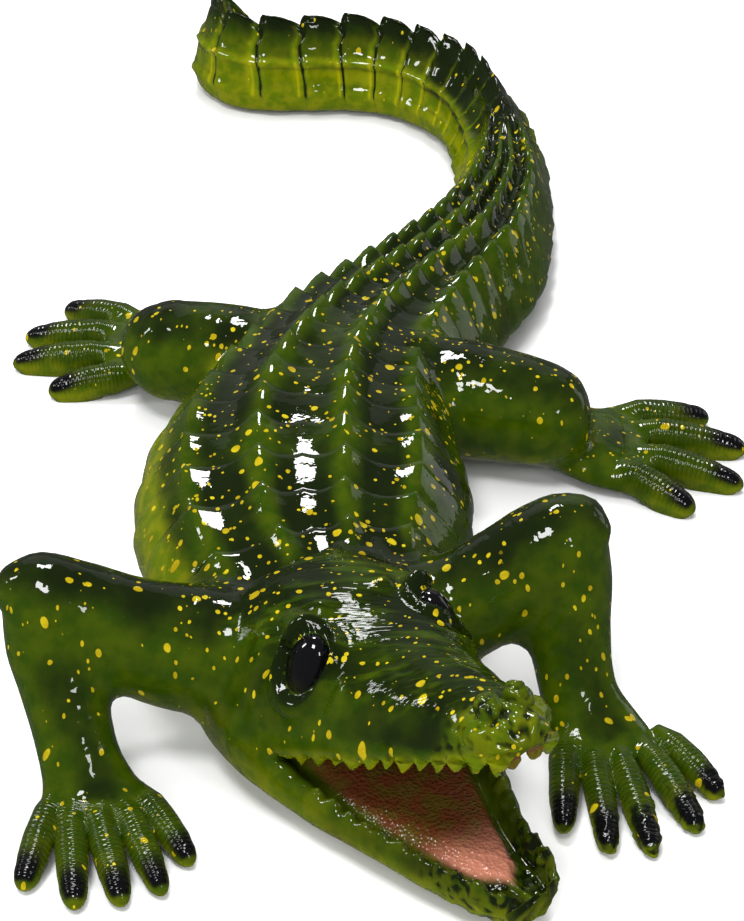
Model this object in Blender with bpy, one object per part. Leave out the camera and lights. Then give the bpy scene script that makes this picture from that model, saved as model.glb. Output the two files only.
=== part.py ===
"""A crocodile ornament, cast in one piece: jaws open, head turned, tail swept round behind.

The pose is laid out on a flat grid whose unit is a share of the figure's length. The body is one
loft from the tail's tip to the neck. The head, lower jaw, legs and toes are lofts of their own,
and the brows, eyes, nostrils and teeth are primitives. All are joined into one solid, cut flat
under the soles and set over the middle of its own outline.
"""

import math

import bmesh
import bpy
import numpy as np
from mathutils import Matrix, Vector

# Overall length along Y, and the grid of the pose: the figure is 652 grid units long.
LENGTH = 0.652
GRID = LENGTH / 652

# Body stations from the tail's tip to the neck, in grid units: x, y and height of the waist,
# half width, rise above and drop below the waist, squareness of the back and of the belly,
# how much the sides lean in towards the top, place and height of the inner keels, place and
# height of the outer keels, height of the single crest, and length of one band of plates.
BODY = (
    (-62, 386, 9, 2, 9, 5, 1.8, 2.4, 0.1, 0.15, 0, 0.45, 0, 2, 20),
    (-75, 378, 11, 5, 20, 9, 1.8, 2.6, 0.1, 0.15, 0, 0.45, 0, 7, 20),
    (-81, 360, 12, 7, 22, 11, 1.8, 2.8, 0.1, 0.15, 0, 0.45, 0, 8, 20),
    (-77, 341, 13, 9, 24, 12, 1.8, 3, 0.1, 0.15, 0, 0.45, 0, 9, 20),
    (-60, 327, 13, 11, 25, 12, 1.8, 3, 0.1, 0.15, 0, 0.45, 0, 10, 20),
    (-36, 325, 13, 11, 25, 12, 1.8, 3, 0.1, 0.15, 0, 0.45, 0, 10, 20),
    (-10, 326, 13, 12, 25, 12, 1.8, 3, 0.1, 0.15, 0, 0.45, 0, 11, 20),
    (12, 319, 13, 12, 25, 12, 1.8, 3, 0.1, 0.15, 0, 0.45, 0, 11, 19),
    (31, 304, 13, 13, 25, 12, 1.9, 3, 0.1, 0.15, 0, 0.45, 0, 11, 18),
    (47, 282, 13, 15, 26, 12, 2.0, 3, 0.15, 0.15, 0, 0.45, 0, 12, 17),
    (56, 255, 13, 17.3, 26, 12, 2.1, 3, 0.2, 0.15, 0, 0.45, 0, 11, 17),
    (60, 227, 13, 19, 25, 12, 2.4, 3, 0.3, 0.15, 0, 0.5, 5, 7, 16),
    (60, 202, 14, 19.7, 24, 13, 2.8, 3, 0.3, 0.16, 1, 0.62, 8, 2, 15),
    (58.5, 176, 15, 21, 23, 14, 3.0, 3, 0.3, 0.2, 5, 0.75, 9, 0, 15),
    (52, 150, 15, 25.5, 23, 14, 3.0, 3, 0.3, 0.22, 6, 0.78, 9, 0, 15),
    (43, 122, 16, 30, 24, 14, 3.0, 3, 0.28, 0.25, 6, 0.78, 9, 0, 15),
    (29, 96, 17, 33, 25, 14, 2.8, 3, 0.24, 0.26, 6, 0.78, 9, 0, 15),
    (12, 66, 19, 38, 27, 15, 2.6, 2.8, 0.2, 0.26, 6, 0.76, 8, 0, 16),
    (-3, 36, 22, 42.2, 29, 17, 2.4, 2.6, 0.14, 0.26, 6, 0.75, 8, 0, 17),
    (-13, 5, 25, 45, 32, 20, 2.2, 2.6, 0.06, 0.26, 6, 0.74, 7, 0, 18),
    (-20, -25, 26, 50, 34, 21, 2.2, 2.6, 0, 0.26, 6, 0.72, 7, 0, 19),
    (-24, -58, 27, 57, 35, 22, 2.2, 2.6, 0, 0.26, 6, 0.7, 7, 0, 20),
    (-24, -90, 27, 58, 35, 22, 2.2, 2.6, 0, 0.26, 6, 0.7, 7, 0, 20),
    (-22.5, -118, 28, 52.5, 32, 23, 2.2, 2.6, 0, 0.26, 5.5, 0.7, 6, 0, 20),
    (-17, -142, 30, 44, 27, 25, 2.2, 2.6, 0, 0.25, 4, 0.7, 4, 0, 20),
    (-10, -166, 32, 40, 24, 27, 2.2, 2.6, 0, 0.25, 2, 0.7, 1, 0, 20),
    (-3, -182, 34, 30, 20, 24, 2.2, 2.6, 0, 0.25, 0, 0.7, 0, 0, 20),
)

# Height of the steps where one band of plates ends and the next begins.
BAND_STEP = 1.1
FLANK_STEP = 1.2
CREST_REACH = 0.5

# The head leaves the neck here, turned to its left. Its stations run forward from there.
HEAD_ROOT = (-4.7, -182)
HEAD_TURN = math.radians(33)

# Upper head: distance forward, height of the lip and of the crown, half width at the lip,
# half thickness of the lip, squareness, lean of the sides, and arch of the palate.
UPPER_HEAD = (
    (-34, 24, 62, 37, 4, 2.4, 0.15, 2),
    (-22, 22, 66, 41, 4, 2.5, 0.2, 2),
    (-8, 22, 68, 41, 4, 2.6, 0.22, 2),
    (6, 24, 67, 39, 4, 2.6, 0.2, 2),
    (18, 30, 67, 34, 4, 2.5, 0.18, 4),
    (30, 36, 68, 29.5, 4, 2.4, 0.18, 5),
    (44, 43, 70, 24.5, 4, 2.4, 0.2, 5),
    (58, 50.5, 73, 20.5, 4, 2.4, 0.17, 4),
    (68, 56, 75, 17.5, 4, 2.4, 0.17, 3),
    (77, 61, 77, 14.5, 4, 2.4, 0.2, 2),
    (84, 64.5, 77.5, 12, 4, 2.3, 0.2, 1),
    (88.5, 67, 75.5, 8.5, 3, 2.1, 0.1, 0.5),
    (91, 69, 72.5, 4.5, 1.5, 2.0, 0, 0.2),
)

# Lower jaw: distance forward, height of the rim, of the widest level and of the underside,
# half width, narrowness of the underside, height of the tongue below the rim, and how far the
# middle lies to the left.
LOWER_JAW = (
    (-44, 34, 22, 5, 36, 0.85, 2, 0),
    (-28, 34, 19, 3, 43, 0.9, 2, 0),
    (-12, 31, 17, 2, 44, 0.9, 2, 0),
    (2, 27, 15, 1.5, 41.7, 0.9, 3, 0),
    (12, 22, 13, 1.5, 38.5, 0.9, 3, 0),
    (24, 19.5, 12, 1.5, 34.8, 0.88, 3, -0.5),
    (38, 18.5, 12, 1.5, 30.2, 0.85, 3, -1),
    (52, 18, 12, 1.5, 25.2, 0.82, 3, -1.6),
    (66, 17.5, 12, 1.5, 20.2, 0.8, 3, -1.6),
    (78, 18, 12, 1.5, 16.2, 0.8, 4, -0.7),
    (86, 18, 12, 2, 14, 0.8, 4, 0.5),
    (91.5, 16.5, 12, 3.5, 10.8, 0.8, 3, 1.5),
    (94.5, 14, 11, 7, 5.5, 0.8, 1, 2),
)

# Legs: the heading of the line across the toes, and then each length of the leg as stations,
# with x, y and height of the middle, half width across the toes and half thickness.
LEGS = {
    "left_fore": (16, (
        ((-14, -154, 32, 18, 18), (8, -151, 33, 18.7, 18.7), (26, -147.5, 37, 18.3, 18.3),
         (44, -143.5, 46, 18, 18), (59, -140, 56, 17.5, 18), (69, -138, 61.5, 14.5, 15),
         (74, -139, 61, 8, 9), (76.5, -139, 60, 3, 4)),
        ((61, -135, 71, 6, 6), (62.5, -137, 65, 13, 12.5), (63.5, -143, 48, 15.3, 15),
         (65, -153, 31, 14, 13), (68, -165, 16.5, 13.2, 10), (73, -176, 7.5, 17, 8),
         (79, -190, 3.5, 21.5, 6)),
    )),
    "right_fore": (4, (
        ((-14, -160, 31, 21.5, 21.5), (-36, -163, 32, 22, 22), (-58, -167, 36, 21, 21),
         (-80, -168, 43, 18.8, 18.8), (-97, -168, 51, 17.6, 17.6), (-108, -168, 57.3, 15.3, 15.3),
         (-115, -168, 59, 10.5, 10.5), (-118.5, -168, 58.5, 4, 5)),
        ((-102, -166, 66, 6, 6), (-102.5, -168, 61, 13, 12.5), (-101.5, -173, 46, 15.8, 14.5),
         (-97.3, -185, 30, 13.6, 13), (-92.5, -198, 16, 13, 10), (-88, -208, 7.5, 16.2, 8),
         (-84, -219, 3.5, 19.2, 6)),
    )),
    "left_hind": (86, (
        ((6, 10.5, 26, 22, 22), (30, 4, 26.5, 23, 23), (52, -2.5, 26.2, 22.1, 21.6),
         (69, -7.5, 25.2, 19.7, 19.2), (79, -9.5, 24.3, 14.5, 14.5), (83, -9.5, 24.3, 7, 7)),
        ((70, -10, 29, 7, 7), (71, -6, 25, 12, 12), (70, 2, 17, 13, 12), (68, 6, 10, 12, 8)),
        ((54, 5, 9, 7, 5), (62, 4, 9, 15, 8), (77, 1.5, 9, 21.5, 8.5), (92, -2, 7, 27, 7.5),
         (106, -2, 4, 28, 5.5)),
    )),
    "right_hind": (96, (
        ((-24, 21, 27, 21, 21), (-48, 30, 27, 21.3, 21.3), (-70, 37, 27, 20.5, 20.5),
         (-86, 43, 26, 18, 18), (-95, 46, 25, 13, 13), (-98, 47, 25, 7, 7)),
        ((-88, 46, 29, 7, 7), (-87, 52, 24, 12, 12), (-80, 64, 17, 13, 12), (-76, 72, 10, 12, 8)),
        ((-60, 80, 9, 7, 5), (-68, 79, 9, 17, 8), (-82, 77, 9, 22, 8.5), (-96, 76, 7, 25, 7.5),
         (-110, 75, 4, 26, 5.5)),
    )),
}

# Toes: x and y of the root and of the tip, in grid units.
TOES = {
    "left_fore": (
        (63, -177, 60, -218.5),
        (70.8, -181, 73.8, -228),
        (78.8, -182, 87.3, -229),
        (86.5, -179, 102.5, -217.5),
        (92.5, -175, 111.7, -201.5),
    ),
    "right_fore": (
        (-99.5, -205, -106.3, -244),
        (-95.5, -207, -89.6, -252.3),
        (-88, -208, -75.3, -251),
        (-80.5, -206, -63.2, -246.5),
        (-75, -203, -55.5, -233),
    ),
    "left_hind": (
        (92, 18, 134, 26),
        (98, 9, 146, 2.5),
        (98, -7, 141.5, -23),
        (91, -17, 121, -40.3),
    ),
    "right_hind": (
        (-94, 92, -131, 113),
        (-99, 83, -145.5, 89.5),
        (-100, 68, -148.5, 68.3),
        (-94, 52, -131, 46),
    ),
}
TOE_ROOT_HEIGHT = 8
TOE_TIP_HEIGHT = 3

# Half width of the fore and hind toes, and the share of it at points along a toe.
TOE_WIDTH = 5.2
HIND_TOE_WIDTH = 7
TOE_SHAPE = ((0, 0.6), (0.25, 1.0), (0.5, 1.0), (0.72, 0.92), (0.9, 0.67), (1.0, 0.3))
HIND_TOE_SHAPE = ((0, 0.6), (0.3, 1.0), (0.55, 0.98), (0.76, 0.84), (0.91, 0.58), (1.0, 0.25))

# Eyes, brows, nostrils and front teeth: distance forward, sideways and height of the middle,
# radii, and how far the top leans in, in degrees.
FACE = (
    ("eye", (9, 23.5, 55), (8, 6.5, 12), 16),
    ("brow", (1, 19.5, 61.5), (12, 6, 5), 0),
    ("nostril", (77.3, 5.2, 77.6), (5, 4, 4), 0),
    ("snout_swelling", (78.9, 7.7, 70.3), (8, 6, 6), 8),
    ("front_tooth", (87.4, 3.6, 66.3), (2.4, 2.4, 4), 5),
)

# How deep the grooves beside the tongue go, as a share of the height of the lower jaw.
GROOVE_SHARE = 0.35

# How finely the head, legs and toes are cut into sections, and the corners of a section.
HEAD_SECTIONS = 17
LEG_SECTIONS = 8
LEG_CORNERS = 10
TOE_CORNERS = 7

# Teeth: how many to a side, how far a row reaches back along the head, and how far the tip of
# its own jaw stands clear of it.
UPPER_TEETH = 12
LOWER_TEETH = 11
UPPER_TEETH_SPAN = 71
LOWER_TEETH_SPAN = 66
TEETH_TIP_CLEARANCE = 3.5
TOOTH_RADIUS = 2
TOOTH_LENGTH = 4.6

# Fractions of the half width where a body section has its points, besides the keels.
UNDERSIDE = (0.92, 0.55, 0)


class Track:
    """A smooth line through stations. Each row is a point and then the sizes there."""

    def __init__(self, rows):
        self.rows = np.array(rows, float)
        steps = np.linalg.norm(np.diff(self.rows[:, :3], axis=0), axis=1)
        self.knots = np.concatenate([[0], np.cumsum(steps)])
        self.length = self.knots[-1]
        self.slopes = np.empty_like(self.rows)
        self.slopes[1:-1] = (self.rows[2:] - self.rows[:-2]) / (self.knots[2:] - self.knots[:-2])[:, None]
        self.slopes[0] = (self.rows[1] - self.rows[0]) / steps[0]
        self.slopes[-1] = (self.rows[-1] - self.rows[-2]) / steps[-1]

    def at(self, distance):
        """The row at a distance along the line."""
        i = int(np.clip(np.searchsorted(self.knots, distance) - 1, 0, len(self.knots) - 2))
        span = self.knots[i + 1] - self.knots[i]
        t = np.clip((distance - self.knots[i]) / span, 0, 1)
        end = 3 * t**2 - 2 * t**3
        leave = (t**3 - 2 * t**2 + t) * span
        arrive = (t**3 - t**2) * span
        row = (1 - end) * self.rows[i] + end * self.rows[i + 1]
        return row + leave * self.slopes[i] + arrive * self.slopes[i + 1]

    def heading(self, distance):
        """The direction of the line at a distance along it."""
        step = self.length / 500
        ahead = self.at(min(distance + step, self.length))
        behind = self.at(max(distance - step, 0))
        return unit((ahead - behind)[:3])


def unit(vector):
    return vector / np.linalg.norm(vector)


def ridge(place, middle, reach):
    """A pointed ridge: 1 at its middle, falling to 0 at its reach on either side."""
    return max(0, 1 - abs(place - middle) / reach)


def plate(phase):
    """Height of a plate along its own length: it climbs to its rear edge and then drops."""
    return min(phase / 0.85, (1 - phase) / 0.15)


def crest_plate(phase):
    """Height of a plate of the single crest, which has shallow notches."""
    return 0.65 + 0.35 * plate(phase)


def loft(name, rings):
    """A closed skin over rings of equally many points, with flat ends."""
    shape = bmesh.new()
    loops = [[shape.verts.new(point) for point in ring] for ring in rings]
    count = len(loops[0])
    for first, second in zip(loops, loops[1:]):
        for i in range(count):
            j = (i + 1) % count
            shape.faces.new((first[i], first[j], second[j], second[i]))
    shape.faces.new(reversed(loops[0]))
    shape.faces.new(loops[-1])
    return finish_shape(name, shape)


def finish_shape(name, shape):
    bmesh.ops.scale(shape, vec=(GRID, GRID, GRID), verts=shape.verts)
    bmesh.ops.recalc_face_normals(shape, faces=shape.faces)
    mesh = bpy.data.meshes.new(name)
    shape.to_mesh(mesh)
    shape.free()
    return bpy.data.objects.new(name, mesh)


def body_ring(track, distance, phase):
    """One section of the tail or trunk, from its left edge over the back and round below."""
    (x, y, z, half, rise, drop, top, base, lean,
     inner, inner_keel, outer, outer_keel, crest, _band) = track.at(distance)
    forward = track.heading(distance)
    side = unit(np.cross(forward, (0, 0, 1)))
    lift = plate(phase)
    fractions = sorted({0, inner, (2 * inner + outer) / 3, (inner + 2 * outer) / 3,
                        outer, (1 + 2 * outer) / 3, (4 + outer) / 5, 1})
    points = []
    for fraction in [-f for f in reversed(fractions)] + fractions[1:]:
        size = abs(fraction)
        level = (1 - size**top) ** (1 / top)
        up = rise * level
        out = half * fraction * (1 - lean * level)
        reach = (outer - inner) / 2
        keels = inner_keel * ridge(size, inner, min(inner, reach)) ** 2
        keels += outer_keel * ridge(size, outer, reach) ** 2
        up += level * (BAND_STEP * lift + keels * (0.4 + 0.6 * lift))
        up += crest * crest_plate(phase) * ridge(size, 0, CREST_REACH)
        out += math.copysign(FLANK_STEP * lift * size**4, fraction)
        points.append((out, up))
    for fraction in list(UNDERSIDE) + [-f for f in reversed(UNDERSIDE[:-1])]:
        points.append((half * fraction, -drop * (1 - abs(fraction) ** base) ** (1 / base)))
    centre = np.array((x, y, z))
    return [centre + side * out + np.array((0, 0, up)) for out, up in points]


def body():
    """Tail and trunk, with a low and a high section to each band of plates."""
    track = Track(BODY)
    steps = np.linspace(0, track.length, 2000)
    lengths = np.array([track.at(step)[-1] for step in steps])
    bands = np.concatenate([[0], np.cumsum(np.diff(steps) / lengths[1:])])
    rings = [body_ring(track, 0, 0.5)]
    for band in range(int(bands[-1])):
        for phase in (0.85, 0.01):
            rings.append(body_ring(track, np.interp(band + 1 - phase, bands, steps), phase))
    rings.append(body_ring(track, track.length, 0.5))
    return loft("body", rings)


def head_point(forward, sideways, height):
    """A place given by distance forward from the head's root, to its left, and above ground."""
    sine = math.sin(HEAD_TURN)
    cosine = math.cos(HEAD_TURN)
    x = HEAD_ROOT[0] + sine * forward + cosine * sideways
    y = HEAD_ROOT[1] - cosine * forward + sine * sideways
    return Vector((x, y, height))


def mirrored(edge):
    """A row of (sideways, height) points on the left half, carried on over the right half."""
    return edge + [(-out, height) for out, height in reversed(edge[:-1])]


def upper_head():
    """The skull and snout, from the neck to the tip, over an arched palate."""
    track = Track([(row[0], 0, 0) + row[1:] for row in UPPER_HEAD])
    rings = []
    for distance in np.linspace(0, track.length, HEAD_SECTIONS):
        forward, _, _, lip, crown, half, thick, square, lean, arch = track.at(distance)
        waist = lip + thick
        over = []
        for size in (1, 0.97, 0.88, 0.72, 0.5, 0.25, 0):
            level = (1 - size**square) ** (1 / square)
            over.append((half * size * (1 - lean * level), waist + (crown - waist) * level))
        under = [(0.96, 0.1), (0.88, 0), (0.74, 0.3 * arch), (0.4, 0.85 * arch), (0, arch)]
        below = [(half * size, lip + up) for size, up in under]
        section = mirrored(over) + [(-out, up) for out, up in mirrored(below)]
        rings.append([head_point(forward, out, up) for out, up in section])
    return loft("upper_head", rings)


def lower_jaw():
    """The lower jaw: a trough between two rims, filled by the tongue."""
    track = Track([(row[0], 0, 0) + row[1:] for row in LOWER_JAW])
    rings = []
    for distance in np.linspace(0, track.length, HEAD_SECTIONS):
        forward, _, _, rim, waist, bottom, half, narrow, tongue, middle = track.at(distance)
        groove = rim - GROOVE_SHARE * (rim - bottom)
        over = [(1, waist), (1, (waist + rim) / 2), (0.95, rim), (0.86, rim),
                (0.76, groove), (0.6, (groove + rim - tongue) / 2), (0.3, rim - tongue),
                (0, rim - tongue)]
        above = [(half * size, height) for size, height in over]
        below = []
        for size in (0.97, 0.84, 0.5, 0):
            depth = (1 - size**2.4) ** (1 / 2.4)
            width = half * size * (1 - (1 - narrow) * depth)
            below.append((width, waist - (waist - bottom) * depth))
        section = mirrored(above) + [(-out, up) for out, up in mirrored(below)]
        rings.append([head_point(forward, middle + out, up) for out, up in section])
    return loft("lower_jaw", rings)


def tube_rings(track, sections, side, corners, sizes):
    """Rings round a smooth line. The side direction is carried back from the line's far end."""
    rings = []
    for distance in np.linspace(track.length, 0, sections):
        row = track.at(distance)
        forward = track.heading(distance)
        side = unit(side - forward * np.dot(side, forward))
        up = np.cross(side, forward)
        wide, thick = sizes(row, distance / track.length)
        ring = []
        for corner in range(corners):
            angle = 2 * math.pi * corner / corners
            ring.append(row[:3] + side * wide * math.cos(angle) + up * thick * math.sin(angle))
        rings.append(ring)
    return rings


def leg(name, toes_heading, lengths):
    """One leg: each of its lengths is a loft that starts and ends rounded inside the next."""
    angle = math.radians(toes_heading)
    side = np.array((math.cos(angle), math.sin(angle), 0))
    shapes = []
    for i, stations in enumerate(lengths):
        rings = tube_rings(Track(stations), LEG_SECTIONS, side, LEG_CORNERS, lambda row, share: row[3:5])
        shapes.append(loft(f"{name}_length_{i}", rings))
    return shapes


def toe(name, width, shape, root_x, root_y, tip_x, tip_y):
    middle_x = (root_x + tip_x) / 2
    middle_y = (root_y + tip_y) / 2
    track = Track((
        (root_x, root_y, TOE_ROOT_HEIGHT),
        (middle_x, middle_y, TOE_ROOT_HEIGHT - 1.5),
        (tip_x, tip_y, TOE_TIP_HEIGHT),
    ))
    side = np.array((root_y - tip_y, tip_x - root_x, 0))
    shares, widths = zip(*shape)

    def sizes(row, share):
        radius = width * np.interp(share, shares, widths)
        return radius, radius

    return loft(name, tube_rings(track, len(shape), side, TOE_CORNERS, sizes))


def ellipsoid(name, middle, radii, lean, columns=8, rows=6):
    """A ball squashed along the head's own forward, sideways and upward directions, then leant."""
    shape = bmesh.new()
    turn = Matrix.Rotation(HEAD_TURN - math.pi / 2, 4, "Z") @ Matrix.Rotation(lean, 4, "X")
    place = Matrix.Translation(middle) @ turn @ Matrix.Diagonal((*radii, 1))
    bmesh.ops.create_uvsphere(shape, u_segments=columns, v_segments=rows, radius=1, matrix=place)
    return finish_shape(name, shape)


def tooth(name, middle, downwards, size=1):
    shape = bmesh.new()
    turn = Matrix.Rotation(math.pi if downwards else 0, 4, "X")
    place = Matrix.Translation(middle) @ turn
    bmesh.ops.create_cone(shape, cap_ends=True, segments=4, radius1=TOOTH_RADIUS * size, radius2=0,
                          depth=TOOTH_LENGTH * size, matrix=place)
    return finish_shape(name, shape)


def column(table, forward, place):
    """One column of a head table, read between its stations."""
    return float(np.interp(forward, [row[0] for row in table], [row[place] for row in table]))


def face():
    """Eyes, brows, nostrils and front teeth, the same on both sides."""
    shapes = []
    for side, sign in (("left", 1), ("right", -1)):
        for name, (forward, out, up), radii, lean in FACE:
            middle = head_point(forward, sign * out, up)
            shapes.append(ellipsoid(f"{side}_{name}", middle, radii, sign * math.radians(lean)))
    return shapes


def tooth_places(table, span, count):
    """Where the teeth of one row stand along the head."""
    front = table[-1][0] - TEETH_TIP_CLEARANCE
    return np.linspace(front - span, front, count)


def teeth():
    """A row of teeth along each lip and each rim."""
    shapes = []
    for side, sign in (("left", 1), ("right", -1)):
        for i, forward in enumerate(tooth_places(UPPER_HEAD, UPPER_TEETH_SPAN, UPPER_TEETH)):
            half = column(UPPER_HEAD, forward, 3)
            middle = head_point(forward, sign * 0.86 * half, column(UPPER_HEAD, forward, 1) - 0.8)
            shapes.append(tooth(f"{side}_upper_tooth_{i}", middle, True))
        for i, forward in enumerate(tooth_places(LOWER_JAW, LOWER_TEETH_SPAN, LOWER_TEETH)):
            out = column(LOWER_JAW, forward, 7) + sign * 0.9 * column(LOWER_JAW, forward, 4)
            middle = head_point(forward, out, column(LOWER_JAW, forward, 1) + 0.5)
            shapes.append(tooth(f"{side}_lower_tooth_{i}", middle, False))
    return shapes


def ground():
    """What lies below the ground, to cut the soles flat."""
    shape = bmesh.new()
    place = Matrix.Translation((0, 50, -20)) @ Matrix.Diagonal((500, 900, 40, 1))
    bmesh.ops.create_cube(shape, size=1, matrix=place)
    return finish_shape("ground", shape)


def paint():
    """Glossy green lacquer."""
    material = bpy.data.materials.new("green_lacquer")
    material.use_nodes = True
    shader = material.node_tree.nodes["Principled BSDF"]
    shader.inputs["Base Color"].default_value = (0.05, 0.13, 0.01, 1)
    shader.inputs["Roughness"].default_value = 0.12
    shader.inputs["Metallic"].default_value = 0
    return material


def boolean(thing, operation, collection):
    joint = thing.modifiers.new(collection.name, "BOOLEAN")
    joint.operation = operation
    joint.operand_type = "COLLECTION"
    joint.collection = collection
    joint.solver = "EXACT"


def collect(name, shapes):
    """A collection of helper shapes, which are neither rendered nor part of the figure."""
    collection = bpy.data.collections.new(name)
    bpy.context.scene.collection.children.link(collection)
    for shape in shapes:
        collection.objects.link(shape)
        shape.hide_render = True
        shape.display_type = "WIRE"
    return collection


def build():
    for thing in list(bpy.data.objects):
        bpy.data.objects.remove(thing, do_unlink=True)
    kept = bpy.data.collections.new("crocodile")
    bpy.context.scene.collection.children.link(kept)
    figure = body()
    figure.name = "crocodile"
    figure.data.materials.append(paint())
    kept.objects.link(figure)

    legs = []
    toes = []
    for name, (toes_heading, lengths) in LEGS.items():
        legs += leg(name + "_leg", toes_heading, lengths)
        form = (HIND_TOE_WIDTH, HIND_TOE_SHAPE) if name.endswith("hind") else (TOE_WIDTH, TOE_SHAPE)
        toes += [toe(f"{name}_toe_{i}", *form, *ends) for i, ends in enumerate(TOES[name])]
    joined = [
        collect("head", [upper_head(), lower_jaw()]),
        collect("face", face()),
        collect("legs", legs),
        collect("toes", toes),
        collect("teeth", teeth()),
    ]
    for collection in joined:
        boolean(figure, "UNION", collection)
    removed = collect("below_the_ground", [ground()])
    boolean(figure, "DIFFERENCE", removed)

    seen = figure.evaluated_get(bpy.context.evaluated_depsgraph_get())
    corners = np.array([tuple(vertex.co) for vertex in seen.data.vertices])
    lowest = corners.min(axis=0)
    highest = corners.max(axis=0)
    figure.location = (-(lowest[0] + highest[0]) / 2, -(lowest[1] + highest[1]) / 2, -lowest[2])
    for collection in joined + [removed]:
        for shape in collection.objects:
            shape.location = figure.location


build()
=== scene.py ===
"""How the cast crocodile looks: its full relief, glossy paint, a pale floor and studio light.

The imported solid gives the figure's form. The same lofts are skinned here much more finely, with
the relief of the back, tail, head, toes and tongue. They are joined into one closed skin, the
joins are smoothed over, and nodes paint it by what each point of the skin belongs to.
"""

import math

import bmesh
import bpy
import numpy as np
from mathutils import Matrix, Vector, kdtree, noise


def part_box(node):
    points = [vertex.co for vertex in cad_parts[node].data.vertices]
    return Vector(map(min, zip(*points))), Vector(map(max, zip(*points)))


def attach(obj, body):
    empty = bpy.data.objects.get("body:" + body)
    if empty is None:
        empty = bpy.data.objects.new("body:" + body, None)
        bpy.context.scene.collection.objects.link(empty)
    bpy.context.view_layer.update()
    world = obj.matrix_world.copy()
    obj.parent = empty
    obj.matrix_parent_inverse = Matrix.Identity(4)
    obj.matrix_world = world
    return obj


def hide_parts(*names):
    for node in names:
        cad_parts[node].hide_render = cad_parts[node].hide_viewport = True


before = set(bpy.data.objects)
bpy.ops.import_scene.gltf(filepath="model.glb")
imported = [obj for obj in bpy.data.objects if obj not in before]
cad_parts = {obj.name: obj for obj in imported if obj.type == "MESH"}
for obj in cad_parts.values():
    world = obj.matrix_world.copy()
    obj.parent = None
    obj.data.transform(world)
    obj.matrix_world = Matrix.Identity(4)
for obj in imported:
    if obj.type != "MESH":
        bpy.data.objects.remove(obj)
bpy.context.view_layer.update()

# One unit of the grid that the pose is laid out on, in metres, as in the solid.
GRID = 0.001

# Body stations from the tail's tip to the neck, in grid units: x, y and height of the waist,
# half width, rise above and drop below the waist, squareness of the back and of the belly,
# how much the sides lean in towards the top, place and height of the inner keels, place and
# height of the outer keels, height of the single crest, and length of one band of plates.
BODY = (
    (-62, 386, 9, 2, 9, 5, 1.8, 2.4, 0.1, 0.15, 0, 0.45, 0, 2, 20),
    (-75, 378, 11, 5, 20, 9, 1.8, 2.6, 0.1, 0.15, 0, 0.45, 0, 7, 20),
    (-81, 360, 12, 7, 22, 11, 1.8, 2.8, 0.1, 0.15, 0, 0.45, 0, 8, 20),
    (-77, 341, 13, 9, 24, 12, 1.8, 3, 0.1, 0.15, 0, 0.45, 0, 9, 20),
    (-60, 327, 13, 11, 25, 12, 1.8, 3, 0.1, 0.15, 0, 0.45, 0, 10, 20),
    (-36, 325, 13, 11, 25, 12, 1.8, 3, 0.1, 0.15, 0, 0.45, 0, 10, 20),
    (-10, 326, 13, 12, 25, 12, 1.8, 3, 0.1, 0.15, 0, 0.45, 0, 11, 20),
    (12, 319, 13, 12, 25, 12, 1.8, 3, 0.1, 0.15, 0, 0.45, 0, 11, 19),
    (31, 304, 13, 13, 25, 12, 1.9, 3, 0.1, 0.15, 0, 0.45, 0, 11, 18),
    (47, 282, 13, 15, 26, 12, 2.0, 3, 0.15, 0.15, 0, 0.45, 0, 12, 17),
    (56, 255, 13, 17.3, 26, 12, 2.1, 3, 0.2, 0.15, 0, 0.45, 0, 11, 17),
    (60, 227, 13, 19, 25, 12, 2.4, 3, 0.3, 0.15, 0, 0.5, 5, 7, 16),
    (60, 202, 14, 19.7, 24, 13, 2.8, 3, 0.3, 0.16, 1, 0.62, 8, 2, 15),
    (58.5, 176, 15, 21, 23, 14, 3.0, 3, 0.3, 0.2, 5, 0.75, 9, 0, 15),
    (52, 150, 15, 25.5, 23, 14, 3.0, 3, 0.3, 0.22, 6, 0.78, 9, 0, 15),
    (43, 122, 16, 30, 24, 14, 3.0, 3, 0.28, 0.25, 6, 0.78, 9, 0, 15),
    (29, 96, 17, 33, 25, 14, 2.8, 3, 0.24, 0.26, 6, 0.78, 9, 0, 15),
    (12, 66, 19, 38, 27, 15, 2.6, 2.8, 0.2, 0.26, 6, 0.76, 8, 0, 16),
    (-3, 36, 22, 42.2, 29, 17, 2.4, 2.6, 0.14, 0.26, 6, 0.75, 8, 0, 17),
    (-13, 5, 25, 45, 32, 20, 2.2, 2.6, 0.06, 0.26, 6, 0.74, 7, 0, 18),
    (-20, -25, 26, 50, 34, 21, 2.2, 2.6, 0, 0.26, 6, 0.72, 7, 0, 19),
    (-24, -58, 27, 57, 35, 22, 2.2, 2.6, 0, 0.26, 6, 0.7, 7, 0, 20),
    (-24, -90, 27, 58, 35, 22, 2.2, 2.6, 0, 0.26, 6, 0.7, 7, 0, 20),
    (-22.5, -118, 28, 52.5, 32, 23, 2.2, 2.6, 0, 0.26, 5.5, 0.7, 6, 0, 20),
    (-17, -142, 30, 44, 27, 25, 2.2, 2.6, 0, 0.25, 4, 0.7, 4, 0, 20),
    (-10, -166, 32, 40, 24, 27, 2.2, 2.6, 0, 0.25, 2, 0.7, 1, 0, 20),
    (-3, -182, 34, 30, 20, 24, 2.2, 2.6, 0, 0.25, 0, 0.7, 0, 0, 20),
)

# The head leaves the neck here, turned to its left. Its stations run forward from there.
HEAD_ROOT = (-4.7, -182)
HEAD_TURN = math.radians(33)

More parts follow.
